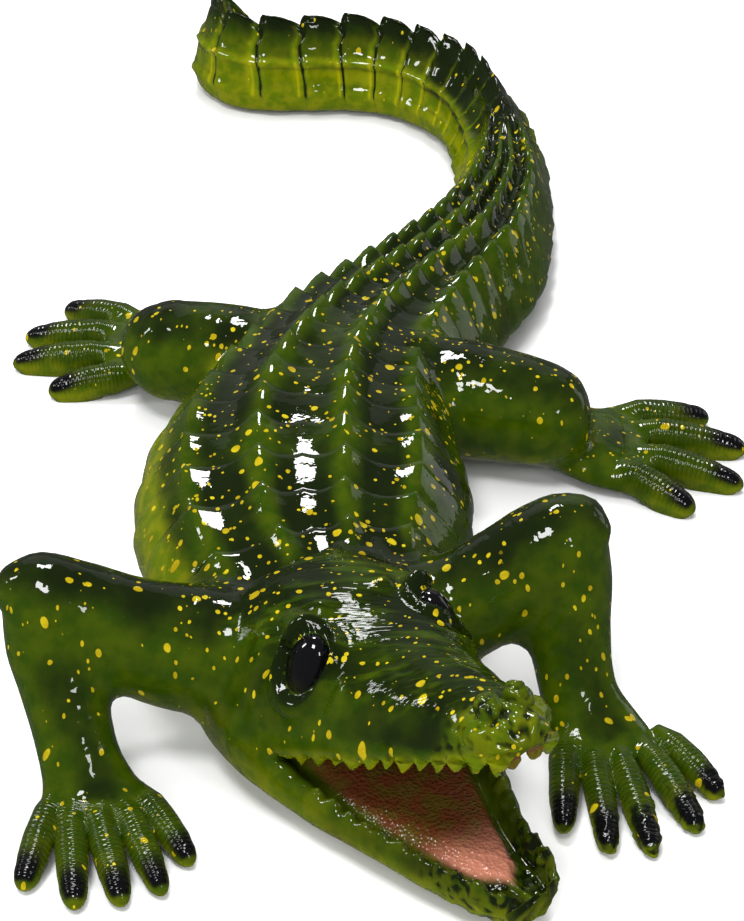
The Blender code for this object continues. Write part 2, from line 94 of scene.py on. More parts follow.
# Upper head: distance forward, height of the lip and of the crown, half width at the lip,
# half thickness of the lip, squareness, lean of the sides, and arch of the palate.
UPPER_HEAD = (
    (-34, 24, 62, 37, 4, 2.4, 0.15, 2),
    (-22, 22, 66, 41, 4, 2.5, 0.2, 2),
    (-8, 22, 68, 41, 4, 2.6, 0.22, 2),
    (6, 24, 67, 39, 4, 2.6, 0.2, 2),
    (18, 30, 67, 34, 4, 2.5, 0.18, 4),
    (30, 36, 68, 29.5, 4, 2.4, 0.18, 5),
    (44, 43, 70, 24.5, 4, 2.4, 0.2, 5),
    (58, 50.5, 73, 20.5, 4, 2.4, 0.17, 4),
    (68, 56, 75, 17.5, 4, 2.4, 0.17, 3),
    (77, 61, 77, 14.5, 4, 2.4, 0.2, 2),
    (84, 64.5, 77.5, 12, 4, 2.3, 0.2, 1),
    (88.5, 67, 75.5, 8.5, 3, 2.1, 0.1, 0.5),
    (91, 69, 72.5, 4.5, 1.5, 2.0, 0, 0.2),
)

# Lower jaw: distance forward, height of the rim, of the widest level and of the underside,
# half width, narrowness of the underside, height of the tongue below the rim, and how far the
# middle lies to the left.
LOWER_JAW = (
    (-44, 34, 22, 5, 36, 0.85, 2, 0),
    (-28, 34, 19, 3, 43, 0.9, 2, 0),
    (-12, 31, 17, 2, 44, 0.9, 2, 0),
    (2, 27, 15, 1.5, 41.7, 0.9, 3, 0),
    (12, 22, 13, 1.5, 38.5, 0.9, 3, 0),
    (24, 19.5, 12, 1.5, 34.8, 0.88, 3, -0.5),
    (38, 18.5, 12, 1.5, 30.2, 0.85, 3, -1),
    (52, 18, 12, 1.5, 25.2, 0.82, 3, -1.6),
    (66, 17.5, 12, 1.5, 20.2, 0.8, 3, -1.6),
    (78, 18, 12, 1.5, 16.2, 0.8, 4, -0.7),
    (86, 18, 12, 2, 14, 0.8, 4, 0.5),
    (91.5, 16.5, 12, 3.5, 10.8, 0.8, 3, 1.5),
    (94.5, 14, 11, 7, 5.5, 0.8, 1, 2),
)

# Legs: the heading of the line across the toes, and then each length of the leg as stations,
# with x, y and height of the middle, half width across the toes and half thickness.
LEGS = {
    "left_fore": (16, (
        ((-14, -154, 32, 18, 18), (8, -151, 33, 18.7, 18.7), (26, -147.5, 37, 18.3, 18.3),
         (44, -143.5, 46, 18, 18), (59, -140, 56, 17.5, 18), (69, -138, 61.5, 14.5, 15),
         (74, -139, 61, 8, 9), (76.5, -139, 60, 3, 4)),
        ((61, -135, 71, 6, 6), (62.5, -137, 65, 13, 12.5), (63.5, -143, 48, 15.3, 15),
         (65, -153, 31, 14, 13), (68, -165, 16.5, 13.2, 10), (73, -176, 7.5, 17, 8),
         (79, -190, 3.5, 21.5, 6)),
    )),
    "right_fore": (4, (
        ((-14, -160, 31, 21.5, 21.5), (-36, -163, 32, 22, 22), (-58, -167, 36, 21, 21),
         (-80, -168, 43, 18.8, 18.8), (-97, -168, 51, 17.6, 17.6), (-108, -168, 57.3, 15.3, 15.3),
         (-115, -168, 59, 10.5, 10.5), (-118.5, -168, 58.5, 4, 5)),
        ((-102, -166, 66, 6, 6), (-102.5, -168, 61, 13, 12.5), (-101.5, -173, 46, 15.8, 14.5),
         (-97.3, -185, 30, 13.6, 13), (-92.5, -198, 16, 13, 10), (-88, -208, 7.5, 16.2, 8),
         (-84, -219, 3.5, 19.2, 6)),
    )),
    "left_hind": (86, (
        ((6, 10.5, 26, 22, 22), (30, 4, 26.5, 23, 23), (52, -2.5, 26.2, 22.1, 21.6),
         (69, -7.5, 25.2, 19.7, 19.2), (79, -9.5, 24.3, 14.5, 14.5), (83, -9.5, 24.3, 7, 7)),
        ((70, -10, 29, 7, 7), (71, -6, 25, 12, 12), (70, 2, 17, 13, 12), (68, 6, 10, 12, 8)),
        ((54, 5, 9, 7, 5), (62, 4, 9, 15, 8), (77, 1.5, 9, 21.5, 8.5), (92, -2, 7, 27, 7.5),
         (106, -2, 4, 28, 5.5)),
    )),
    "right_hind": (96, (
        ((-24, 21, 27, 21, 21), (-48, 30, 27, 21.3, 21.3), (-70, 37, 27, 20.5, 20.5),
         (-86, 43, 26, 18, 18), (-95, 46, 25, 13, 13), (-98, 47, 25, 7, 7)),
        ((-88, 46, 29, 7, 7), (-87, 52, 24, 12, 12), (-80, 64, 17, 13, 12), (-76, 72, 10, 12, 8)),
        ((-60, 80, 9, 7, 5), (-68, 79, 9, 17, 8), (-82, 77, 9, 22, 8.5), (-96, 76, 7, 25, 7.5),
         (-110, 75, 4, 26, 5.5)),
    )),
}

# Toes: x and y of the root and of the tip, in grid units.
TOES = {
    "left_fore": (
        (63, -177, 60, -218.5),
        (70.8, -181, 73.8, -228),
        (78.8, -182, 87.3, -229),
        (86.5, -179, 102.5, -217.5),
        (92.5, -175, 111.7, -201.5),
    ),
    "right_fore": (
        (-99.5, -205, -106.3, -244),
        (-95.5, -207, -89.6, -252.3),
        (-88, -208, -75.3, -251),
        (-80.5, -206, -63.2, -246.5),
        (-75, -203, -55.5, -233),
    ),
    "left_hind": (
        (92, 18, 134, 26),
        (98, 9, 146, 2.5),
        (98, -7, 141.5, -23),
        (91, -17, 121, -40.3),
    ),
    "right_hind": (
        (-94, 92, -131, 113),
        (-99, 83, -145.5, 89.5),
        (-100, 68, -148.5, 68.3),
        (-94, 52, -131, 46),
    ),
}
TOE_ROOT_HEIGHT = 8
TOE_MIDDLE_HEIGHT = 6.5
TOE_TIP_HEIGHT = 3

# Half width of the fore and hind toes, and the share of it at points along a toe.
TOE_WIDTH = 5.2
HIND_TOE_WIDTH = 7
TOE_SHAPE = ((0, 0.6), (0.25, 1.0), (0.5, 1.0), (0.72, 0.92), (0.9, 0.67), (1.0, 0.3))
HIND_TOE_SHAPE = ((0, 0.6), (0.3, 1.0), (0.55, 0.98), (0.76, 0.84), (0.91, 0.58), (1.0, 0.25))

# Eyes, brows, nostrils and front teeth: distance forward, sideways and height of the middle,
# radii, and how far the top leans in, in degrees.
FACE = (
    ("eye", (9, 23.5, 55), (8, 6.5, 12), 16),
    ("brow", (1, 19.5, 61.5), (12, 6, 5), 0),
    ("nostril", (77.3, 5.2, 77.6), (5, 4, 4), 0),
    ("snout_swelling", (78.9, 7.7, 70.3), (8, 6, 6), 8),
    ("front_tooth", (87.4, 3.6, 66.3), (2.4, 2.4, 4), 5),
)

# How deep the grooves beside the tongue go, as a share of the height of the lower jaw.
GROOVE_SHARE = 0.35

# The lines between bands bow towards the head, in bands, between keels and down the flanks.
BOW = 0.1
FLANK_BOW = 0.12
TAIL_LINE_HEIGHT = 15

# One scute of the lower jaw's rim, one ring of a toe and one tongue bump, in grid units.
RIM_SCUTE = 6.2
RING_PITCH = 1.8

# An edge sharper than this inside a leg or a jaw is a join between its lengths.
JOIN_ANGLE = math.radians(24)

# Lumps and hollows of the head, the same on both sides: place, reach and rise.
LUMPS = (
    ("brow_front", (17, 19, 63), (5, 5, 5), 1.3),
    ("lump_before_eye", (27.5, 21.5, 56), (4, 6, 7), 2.2),
    ("hollow_before_eye", (21.5, 25, 51), (3.5, 6, 7), -1.0),
    ("fold_behind_eye", (-9, 29, 57), (4.5, 6, 5), 2.2),
    ("second_fold", (-15, 28, 59), (4, 6, 4), 1.6),
    ("hollow_behind_eye", (-3, 31, 53), (2.5, 6, 7), -1.4),
    ("bump_on_skull", (-3, 12, 66), (3.6, 3.6, 5), 2.2),
    ("cheek", (-6, 42, 32), (15, 9, 12), 1.5),
    ("brow_ridge", (4, 21, 68), (12, 4, 4), 1.8),
    ("lip_bulge", (34, 26, 41), (8, 6, 5), 0.9),
    ("lip_dip", (50, 22, 49), (6, 6, 5), -0.8),
    ("snout_side_dip", (60, 17, 64), (8, 7, 9), -1.5),
    ("snout_middle", (52, 0, 73), (16, 5, 6), 0.9),
    ("snout_groove", (40, 9, 71), (14, 3.5, 6), -0.8),
    ("nostril_pit", (81, 5.5, 82), (1.8, 1.6, 2.5), -1.6),
    ("tip_knob", (86, 5, 76), (2.2, 2.2, 2.5), 1.2),
    ("side_knob", (80, 13, 71), (3.5, 3, 3), 1.2),
    ("low_knob", (87, 7, 71), (2, 2.2, 2), 1.0),
)
LID_RISE = 3.0

# How uneven the hand-modelled figure is: how often it swells to a grid unit, and how far. The
# tip of the snout is knobbly as well.
UNEVENNESS = ((0.035, 0.5), (0.11, 0.22))
TIP_KNOBS = (0.42, 0.9)

# Colours.
GREEN = (0.017, 0.039, 0.0007)
GREEN_WARM = (0.035, 0.056, 0.001)
DARK = (0.0045, 0.0085, 0.0012)
PALE = (0.08, 0.12, 0.001)
PALE_WARM = (0.15, 0.165, 0.002)
CLAW = (0.002, 0.002, 0.0025)
YELLOW = (0.26, 0.25, 0.002)
OCHRE = (0.27, 0.195, 0.003)
OCHRE_LIGHT = (0.42, 0.34, 0.008)
FLESH = (0.5, 0.19, 0.12)
FLESH_DARK = (0.11, 0.03, 0.01)
FLESH_OLIVE = (0.085, 0.055, 0.008)
EYE_BLACK = (0.002, 0.002, 0.0025)
EYE_OLIVE = (0.016, 0.018, 0.002)
FLOOR_DARK = (0.86, 0.86, 0.86)
FLOOR_LIGHT = (0.89, 0.89, 0.89)

# The room's white light, and softboxes: place, what they face, width, depth, power, and
# whether the gloss shows them.
ROOM_LIGHT = 0.12
SOFTBOXES = (
    ("back_softbox", (-0.1, 0.62, 1.15), (0.0, -0.1, 0.0), 0.32, 0.26, 10.0, True),
    ("top_softbox", (-0.3, -0.62, 1.35), (-0.05, -0.1, 0.0), 0.4, 0.34, 13.0, True),
    ("front_softbox", (0.75, -1.2, 1.05), (0.0, -0.1, 0.0), 0.22, 0.3, 4.0, True),
    ("side_softbox", (-1.25, 0.1, 0.85), (0.0, 0.0, 0.0), 0.2, 0.4, 6.0, True),
    ("right_wall", (1.6, 0.9, 0.5), (0.0, 0.1, 0.0), 0.9, 0.9, 2.5, True),
    ("back_wall", (0.0, 2.2, 1.3), (0.0, 0.0, 0.0), 3.0, 1.5, 3.6, True),
    ("front_fill", (-0.3, -1.5, 0.8), (0.0, 0.0, 0.0), 0.9, 0.9, 15.0, False),
    ("top_fill", (0.0, 0.1, 1.8), (0.0, 0.0, 0.0), 1.6, 1.6, 19.0, False),
)

# The camera: focal length in pixels of the photograph, whose height is given, distance from
# the grid's middle in metres, and how far it looks down. The floor is in metres too.
CAMERA_FOCUS = 2400
PHOTO_HEIGHT = 921
CAMERA_DISTANCE = 0.936
CAMERA_PITCH = math.radians(33)
FLOOR_SIZE = 4

# Balls that round the elbows and knees: x, y, height and radius.
LEG_BALLS = {
    "left_fore_leg": (60, -139.5, 55, 15),
    "right_fore_leg": (-99.3, -168, 52.5, 14.5),
    "left_hind_leg": (63.8, -6, 25.6, 19.8),
    "right_hind_leg": (-78.5, 40, 26.5, 20),
}

# Toes by foot: half width, and the share of it at points along the toe. Past the given share a
# toe closes like a ball.
TOE_FORMS = {"fore": (TOE_WIDTH, TOE_SHAPE), "hind": (HIND_TOE_WIDTH, HIND_TOE_SHAPE)}
ROUND_END = 0.8

# Layers of paint drops: cells to a metre, largest radius as a share of a cell, how much of the
# layer thin spatter leaves out, and a turn.
SPATTER = (
    (112.0, 0.22, 0.28, 0.0),
    (160.0, 0.22, 0.28, 0.7),
    (235.0, 0.24, 0.38, 1.3),
    (380.0, 0.27, 0.7, 1.9),
)

# Falling drops run this much longer down a wall, and their outlines wobble this often and far.
DROP_RUN = 0.55
DROP_WOBBLE_SCALE = 240.0
DROP_WOBBLE = (0.0016, 0.0016, 0.0016)

# How fine the clouds and grain of the paint, creases, scales, patches of scales, tongue bumps and
# orange peel are, in features to a metre.
CLOUDS = 38.0
GRAIN = 160.0
CREASES = 58.0
SCALES = 135.0
SCALE_PATCHES = 24.0
PEBBLES = 800.0
PEEL = 230.0

# How deep the rings, scale edges, wrinkles, creases, tongue bumps and orange peel are, in metres.
RING_DEPTH = 0.00013
SCALE_DEPTH = 0.0002
WRINKLE_DEPTH = 0.0005
CREASE_DEPTH = 0.0021
PEBBLE_DEPTH = 0.0006
PEEL_DEPTH = 0.0003

# The paint under the coat, and the coat.
PAINT_ROUGHNESS = 0.3
COAT_ROUGHNESS = 0.04
COAT_IOR = 1.38

# How finely the lofts are skinned.
BODY_STEPS = 2000
HEAD_SECTIONS = 100
LEG_SECTIONS = 38
LEG_CORNERS = 40
TOE_SECTIONS = 52
TOE_CORNERS = 22

# Teeth: how many to a side, how far a row reaches back, and how far the jaw's tip stands clear.
UPPER_TEETH = 12
LOWER_TEETH = 11
UPPER_TEETH_SPAN = 71
LOWER_TEETH_SPAN = 66
TEETH_TIP_CLEARANCE = 3.5
TOOTH_RADIUS = 2.7
TOOTH_LENGTH = 5

# Where each band of plates has its sections, from its raised rear edge to its front.
BAND_PHASES = (0.995, 0.967, 0.935, 0.88, 0.78, 0.62, 0.44, 0.26, 0.13, 0.05)
BAND_STEP = 2
FLANK_STEP = 1.9
CREST_REACH = 0.5

# Joins are smoothed this often, by this share each time, and this much of the wear that it
# would cause is taken back.
JOIN_TURNS = 26
JOIN_PULL = 0.6
WEAR_TAKEN_BACK = 0.85

# Kinds of surface, by the loft or lump they come from.
BODY_KIND, HEAD_KIND, JAW_KIND, LEG_KIND, TOE_KIND, FACE_KIND, EYE_KIND, TOOTH_KIND = range(8)

# How far from a join its crease is smoothed over, by kind of surface, in grid units.
JOIN_REACH = {BODY_KIND: 10, HEAD_KIND: 7, JAW_KIND: 7, LEG_KIND: 11, TOE_KIND: 3.5,
              FACE_KIND: 4, EYE_KIND: 0.01, TOOTH_KIND: 1.2}


def smooth_step(value, low, high):
    """0 below low, 1 above high, and an even rise between them."""
    t = np.clip((np.asarray(value, float) - low) / (high - low), 0, 1)
    return t * t * (3 - 2 * t)


def hump(value, middle, reach):
    """1 at its middle, falling off evenly on both sides."""
    return np.exp(-((np.asarray(value, float) - middle) / reach) ** 2)


def read(items, key, width=3, kind=float):
    """One property of all vertices, edges or faces, as rows."""
    values = np.empty(len(items) * width, kind)
    items.foreach_get(key, values)
    return values.reshape(-1, width)


def mesh_of(shape, name):
    """A mesh from a bmesh, which is freed."""
    mesh = bpy.data.meshes.new(name)
    shape.to_mesh(mesh)
    shape.free()
    return mesh


class Track:
    """A smooth line through stations. Each row is a point and then the sizes there."""

    def __init__(self, rows):
        self.rows = np.array(rows, float)
        steps = np.linalg.norm(np.diff(self.rows[:, :3], axis=0), axis=1)
        self.knots = np.concatenate([[0], np.cumsum(steps)])
        self.length = self.knots[-1]
        self.slopes = np.empty_like(self.rows)
        self.slopes[1:-1] = (self.rows[2:] - self.rows[:-2]) / (self.knots[2:] - self.knots[:-2])[:, None]
        self.slopes[0] = (self.rows[1] - self.rows[0]) / steps[0]
        self.slopes[-1] = (self.rows[-1] - self.rows[-2]) / steps[-1]

    def at(self, distances):
        """The rows at distances along the line."""
        distances = np.clip(np.asarray(distances, float), 0, self.length)
        i = np.clip(np.searchsorted(self.knots, distances) - 1, 0, len(self.knots) - 2)
        span = (self.knots[i + 1] - self.knots[i])[..., None]
        t = (distances - self.knots[i])[..., None] / span
        end = 3 * t**2 - 2 * t**3
        leave = (t**3 - 2 * t**2 + t) * span
        arrive = (t**3 - t**2) * span
        row = (1 - end) * self.rows[i] + end * self.rows[i + 1]
        return row + leave * self.slopes[i] + arrive * self.slopes[i + 1]

    def heading(self, distances):
        """The direction of the line at distances along it."""
        step = self.length / 500
        return unit((self.at(distances + step) - self.at(distances - step))[..., :3])


def unit(vectors):
    return vectors / np.maximum(np.linalg.norm(vectors, axis=-1, keepdims=True), 1e-9)


# The source points of all the lofts, with their paint, for the joined skin to look up.
SOURCE_POINTS = []
SOURCE_PAINT = []
PAINT_NAMES = ("dark", "pale", "claw", "rings", "along", "scales", "wrinkles", "spatter", "mouth")


def skin(name, kind, points, paint=None):
    """A closed skin over rings of equally many points, and what it is painted with."""
    rings, count = points.shape[:2]
    index = np.arange(rings * count).reshape(rings, count)
    after = np.roll(index, -1, axis=1)
    quads = np.stack([index[:-1], after[:-1], after[1:], index[1:]], axis=-1).reshape(-1, 4)
    faces = quads.tolist() + [index[0, ::-1].tolist(), index[-1].tolist()]
    mesh = bpy.data.meshes.new(name)
    mesh.from_pydata(points.reshape(-1, 3).tolist(), [], faces)
    return finish_skin(name, kind, mesh, paint)


def finish_skin(name, kind, mesh, paint=None):
    """Faces the skin outwards, marks its kind on its faces and keeps its paint for later."""
    shape = bmesh.new()
    shape.from_mesh(mesh)
    bmesh.ops.recalc_face_normals(shape, faces=shape.faces)
    for face in shape.faces:
        face.material_index = kind
    shape.to_mesh(mesh)
    shape.free()
    for material in KIND_MATERIALS:
        mesh.materials.append(material)
    values = np.zeros((len(mesh.vertices), len(PAINT_NAMES)))
    for key, value in (paint or {}).items():
        values[:, PAINT_NAMES.index(key)] = np.ravel(value)
    SOURCE_POINTS.append(read(mesh.vertices, "co"))
    SOURCE_PAINT.append(values)
    return bpy.data.objects.new(name, mesh)


def plate(phase):
    """Height of a plate along its own length: it swells towards its rear edge and then drops."""
    rise = np.sin(math.pi / 2 * np.clip(phase / 0.84, 0, 1))
    drop = np.sin(math.pi / 2 * np.clip((0.99 - phase) / 0.12, 0, 1))
    return np.minimum(rise, drop)


def ridge_form(ridge, blocky):
    """A keel seen end on: a sharp pleat on the trunk, a rounded brick on the tail."""
    return ridge**1.9 * (1 - blocky) + smooth_step(ridge, 0, 0.85) * blocky


def columns_over(count_inner, count_between, count_side):
    """Places across the back, as 0 at the middle, 1 and 2 at the keels and 3 at the waist."""
    side = np.sin(np.linspace(0, math.pi / 2, count_side + 1)[1:])
    half = np.concatenate([
        np.linspace(0, 1, count_inner + 1)[1:],
        1 + np.linspace(0, 1, count_between + 1)[1:],
        2 + side,
    ])
    return np.concatenate([-half[::-1], [0], half])


def frame_at(track, distances):
    """The rows at distances along the body's line, and the direction to its side."""
    return track.at(distances), unit(np.cross(track.heading(distances), (0, 0, 1)))


def belly(track, distances, phase, across):
    """The underside from waist to waist, and how dark, pale and spattered it is."""
    row, side = frame_at(track, distances)
    half, drop, base = row[..., 3], row[..., 5], row[..., 7]
    size = np.abs(across)
    out = half * across + np.sign(across) * FLANK_STEP * plate(phase) * size**4
    points = row[..., :3] + side * out[..., None]
    points[..., 2] -= drop * (1 - size.clip(0, 1) ** base) ** (1 / base)
    none = 0 * size + 0 * drop
    far_side = smooth_step(size, 0.6, 1) * np.where(across > 0, 0, 0.8)
    return points, (none, (0.75 + none) * (1 - far_side), none)


def body():
    """Tail and trunk: bands of plates over keels, a crest on the tail, and plain flanks."""
    track = Track(BODY)
    steps = np.linspace(0, track.length, BODY_STEPS)
    lengths = track.at(steps)[:, -1]
    bands = np.concatenate([[0], np.cumsum(np.diff(steps) / lengths[1:])])
    places = [0.004]
    phases = [0.5]
    for band in range(int(bands[-1])):
        for phase in BAND_PHASES:
            places.append(band + 1 - phase)
            phases.append(phase)
    places.append(bands[-1])
    phases.append(0.5)
    places = np.array(places)[:, None]
    phase = np.array(phases)[:, None]

    across = columns_over(7, 10, 20)[None, :]
    below = np.linspace(0, math.pi, 26)[None, 1:-1]
    size_across = np.abs(across)

    # The lines between bands bow towards the head between the keels and down the flanks.
    between = size_across - np.floor(np.minimum(size_across, 1.999))
    bow = np.where(size_across < 2, BOW * 4 * between * (1 - between), FLANK_BOW * (size_across - 2) ** 2)
    ease = smooth_step(places, 0, 3) * smooth_step(places, bands[-1], bands[-1] - 3)
    top_distance = np.interp(places + bow * ease, bands, steps)
    under_distance = np.interp(places + FLANK_BOW * ease + 0 * below, bands, steps)

    row, side = frame_at(track, top_distance)
    (half, rise, top, lean, inner, inner_keel, outer, outer_keel, crest) = (
        row[..., i] for i in (3, 4, 6, 8, 9, 10, 11, 12, 13))
    size = np.where(size_across < 2, inner + (outer - inner) * (size_across - 1),
                    outer + (1 - outer) * (size_across - 2))
    size = np.where(size_across < 1, inner * size_across, size)
    sign = np.sign(across)
    blocky = smooth_step(row[..., 1], 40, 100)
    lift = plate(phase) ** (1 - 0.4 * blocky)
    level = (1 - size.clip(0, 1) ** top) ** (1 / top)
    arch = rise * level
    reach = (outer - inner) / 2
    inner_ridge = np.clip(1 - np.abs(size - inner) / np.minimum(inner, reach), 0, 1)
    outer_ridge = np.clip(1 - np.abs(size - outer) / reach, 0, 1)
    keels = inner_keel * ridge_form(inner_ridge, blocky) + outer_keel * ridge_form(outer_ridge, blocky)
    crest_ridge = np.clip(1 - size / CREST_REACH, 0, 1)
    up = arch + level * (BAND_STEP * lift + keels * (0.4 - 0.15 * blocky + (0.6 + 0.15 * blocky) * lift))
    up = up + crest * (0.6 + 0.4 * lift) * crest_ridge**0.8
    tail = smooth_step(crest, 3, 8)
    lip = hump(phase, 0.9, 0.035) * 0.6
    up = up + level * lip
    out = half * size * (1 - lean * level)
    wall = size**4 * (1 - tail) + size**1.5 * tail
    out = out + (FLANK_STEP * lift + lip) * wall
    tail_lines = hump(arch, TAIL_LINE_HEIGHT, 1.5) + 0.8 * hump(size, 1, 0.02)
    panel = hump(phase, 0.5, 0.33) * (smooth_step(arch, 1, 5) - hump(arch, TAIL_LINE_HEIGHT, 2.5))
    out = out + tail * (1.9 * tail_lines - 1.3 * panel)
    top_points = row[..., :3] + side * (out * sign)[..., None]
    top_points[..., 2] += up

    seen_side = across > 0
    keel_edge = np.maximum(inner_ridge, outer_ridge)
    flank = smooth_step(size, outer + 0.02, 0.97)
    dark = (0.85 - 0.7 * smooth_step(keel_edge, 0.3, 1)) * (1 - flank * np.where(seen_side, 1, 0.5))
    pale = flank * np.where(seen_side, 0.95, 0.12)
    height = level * rise + crest * crest_ridge
    tail_dark = 0.42 * smooth_step(height, TAIL_LINE_HEIGHT - 3, TAIL_LINE_HEIGHT + 3)
    tail_dark = tail_dark + 0.5 * smooth_step(height, TAIL_LINE_HEIGHT + 5, TAIL_LINE_HEIGHT + 19)
    tail_dark = tail_dark + 0.3 * smooth_step(row[..., 1], 320, 270) * smooth_step(height, 4, 20)
    tail_pale = (1 - tail_dark) * np.where(seen_side, 0.68, 0.35)
    strip = hump(phase, 0.13, 0.09)
    # Painted highlight: the raised line along the tail is painted paler and less dark.
    raised_line_highlight = hump(arch, TAIL_LINE_HEIGHT, 1.6)
    dark = dark * (1 - tail) + tail_dark * (1 - 0.75 * raised_line_highlight) * (1 - 0.45 * strip) * tail
    pale = pale * (1 - tail) + (tail_pale + 0.7 * strip * (1 - 0.7 * tail_dark) + 0.3 * raised_line_highlight) * tail
    tail_root = smooth_step(crest + outer_keel, 7.4, 8.6) * (1 - tail)
    dark = dark * (1 - 0.3 * (tail_root * smooth_step(size, outer + 0.03, outer + 0.12)))
    neck = smooth_step(row[..., 1], -128, -158)
    dark = dark + (0.5 - 0.3 * dark) * neck
    pale = pale * (1 - 0.9 * neck)
    # Painted shade: the grooves between the bands of plates, and the long grooves down the tail, are
    # darkened.
    long_grooves = 0.7 * hump(arch, TAIL_LINE_HEIGHT - 3, 1.2) + 0.6 * hump(arch, 4, 1)
    groove = hump(phase, 0.995, 0.02) + tail * (hump(phase, 0.985, 0.03) + long_grooves)
    dark = np.clip(dark + 0.6 * groove, 0, 1)
    spots = (1 - 0.3 * flank) * (1 - 0.75 * tail)
    paint_top = (dark, pale, spots)

    under_points, paint_under = belly(track, under_distance, phase, np.cos(below))
    points = np.concatenate([top_points, under_points], axis=1)
    paints = [np.concatenate([a, b], axis=1) for a, b in zip(paint_top, paint_under)]
    return skin("body", BODY_KIND, points, dict(zip(("dark", "pale", "spatter"), paints)))


def head_point(forward, sideways, height):
    """Places given by distance forward from the head's root, to its left, and above ground."""
    sine = math.sin(HEAD_TURN)
    cosine = math.cos(HEAD_TURN)
    x = HEAD_ROOT[0] + sine * forward + cosine * sideways
    y = HEAD_ROOT[1] - cosine * forward + sine * sideways
    return np.stack(np.broadcast_arrays(x, y, height), axis=-1)


def head_place(points):
    """The other way about: forward, sideways and height of points on the grid."""
    sine = math.sin(HEAD_TURN)
    cosine = math.cos(HEAD_TURN)
    x = points[:, 0] - HEAD_ROOT[0]
    y = points[:, 1] - HEAD_ROOT[1]
    return sine * x - cosine * y, cosine * x + sine * y, points[:, 2]


def upper_head():
    """The skull and snout, from the neck to the tip, over an arched palate."""
    track = Track([(row[0], 0, 0) + row[1:] for row in UPPER_HEAD])
    forward, _, _, lip, crown, half, thick, square, lean, arch = np.moveaxis(
        track.at(np.linspace(0, track.length, HEAD_SECTIONS)), -1, 0)[..., None]
    waist = lip + thick
    angle = np.linspace(0, math.pi, 71)[None, :]
    size = np.sign(np.cos(angle)) * np.abs(np.cos(angle)) ** (2 / square)
    level = np.sin(angle).clip(0, 1) ** (2 / square)
    over_out = half * size * (1 - lean * level)
    over_up = waist + (crown - waist) * level
    place = np.linspace(-0.97, 0.97, 33)[None, :]
    under_up = lip + np.interp(np.abs(place), (0, 0.4, 0.74, 0.88, 0.96, 1), (1, 0.85, 0.3, 0, 0, 0)) * arch
    under_up = under_up + 0.1 * thick * smooth_step(np.abs(place), 0.9, 1)
    out = np.concatenate([over_out, half * place], axis=1)
    up = np.concatenate([over_up, under_up], axis=1)
    points = head_point(forward, out, up)
    height = (up - lip) / (crown - lip)
    top = smooth_step(height, 0.5, 0.85)
    side_dark = 0.4 + 0.25 * smooth_step(forward, 30, 55)
    side_dark = side_dark * smooth_step(height, 0.1, 0.35) * smooth_step(forward, 82, 72)
    tip = smooth_step(forward, 62, 78)
    dark = np.clip(np.maximum(0.8 * top, side_dark), 0, 1) * (1 - 0.75 * tip)
    pale = (1 - smooth_step(height, 0.02, 0.22)) * 0.6 + 0.5 * tip
    inside = np.concatenate([0 * over_out, smooth_step(np.abs(place) + 0 * half, 0.9, 0.8)], axis=1)
    paint = {
        "dark": dark * (1 - inside), "pale": np.clip(pale, 0, 1) * (1 - inside), "mouth": inside,
        "wrinkles": top * (1 - tip), "scales": 0.5 * smooth_step(forward, 20, 0) * (1 - inside),
        "spatter": (0.3 + 0.7 * top) * (1 - inside),
    }
    return skin("upper_head", HEAD_KIND, points, paint)


def rim_scutes(forward, side):
    """Height of the uneven scutes along the jaw's rim, from 0 to 1, on the side of that sign."""
    uneven = 0.9 * np.sin(0.31 * forward + 1.2 * side) + 0.5 * np.sin(0.83 * forward)
    return 0.5 + 0.5 * np.cos(forward * 2 * math.pi / RIM_SCUTE + uneven)


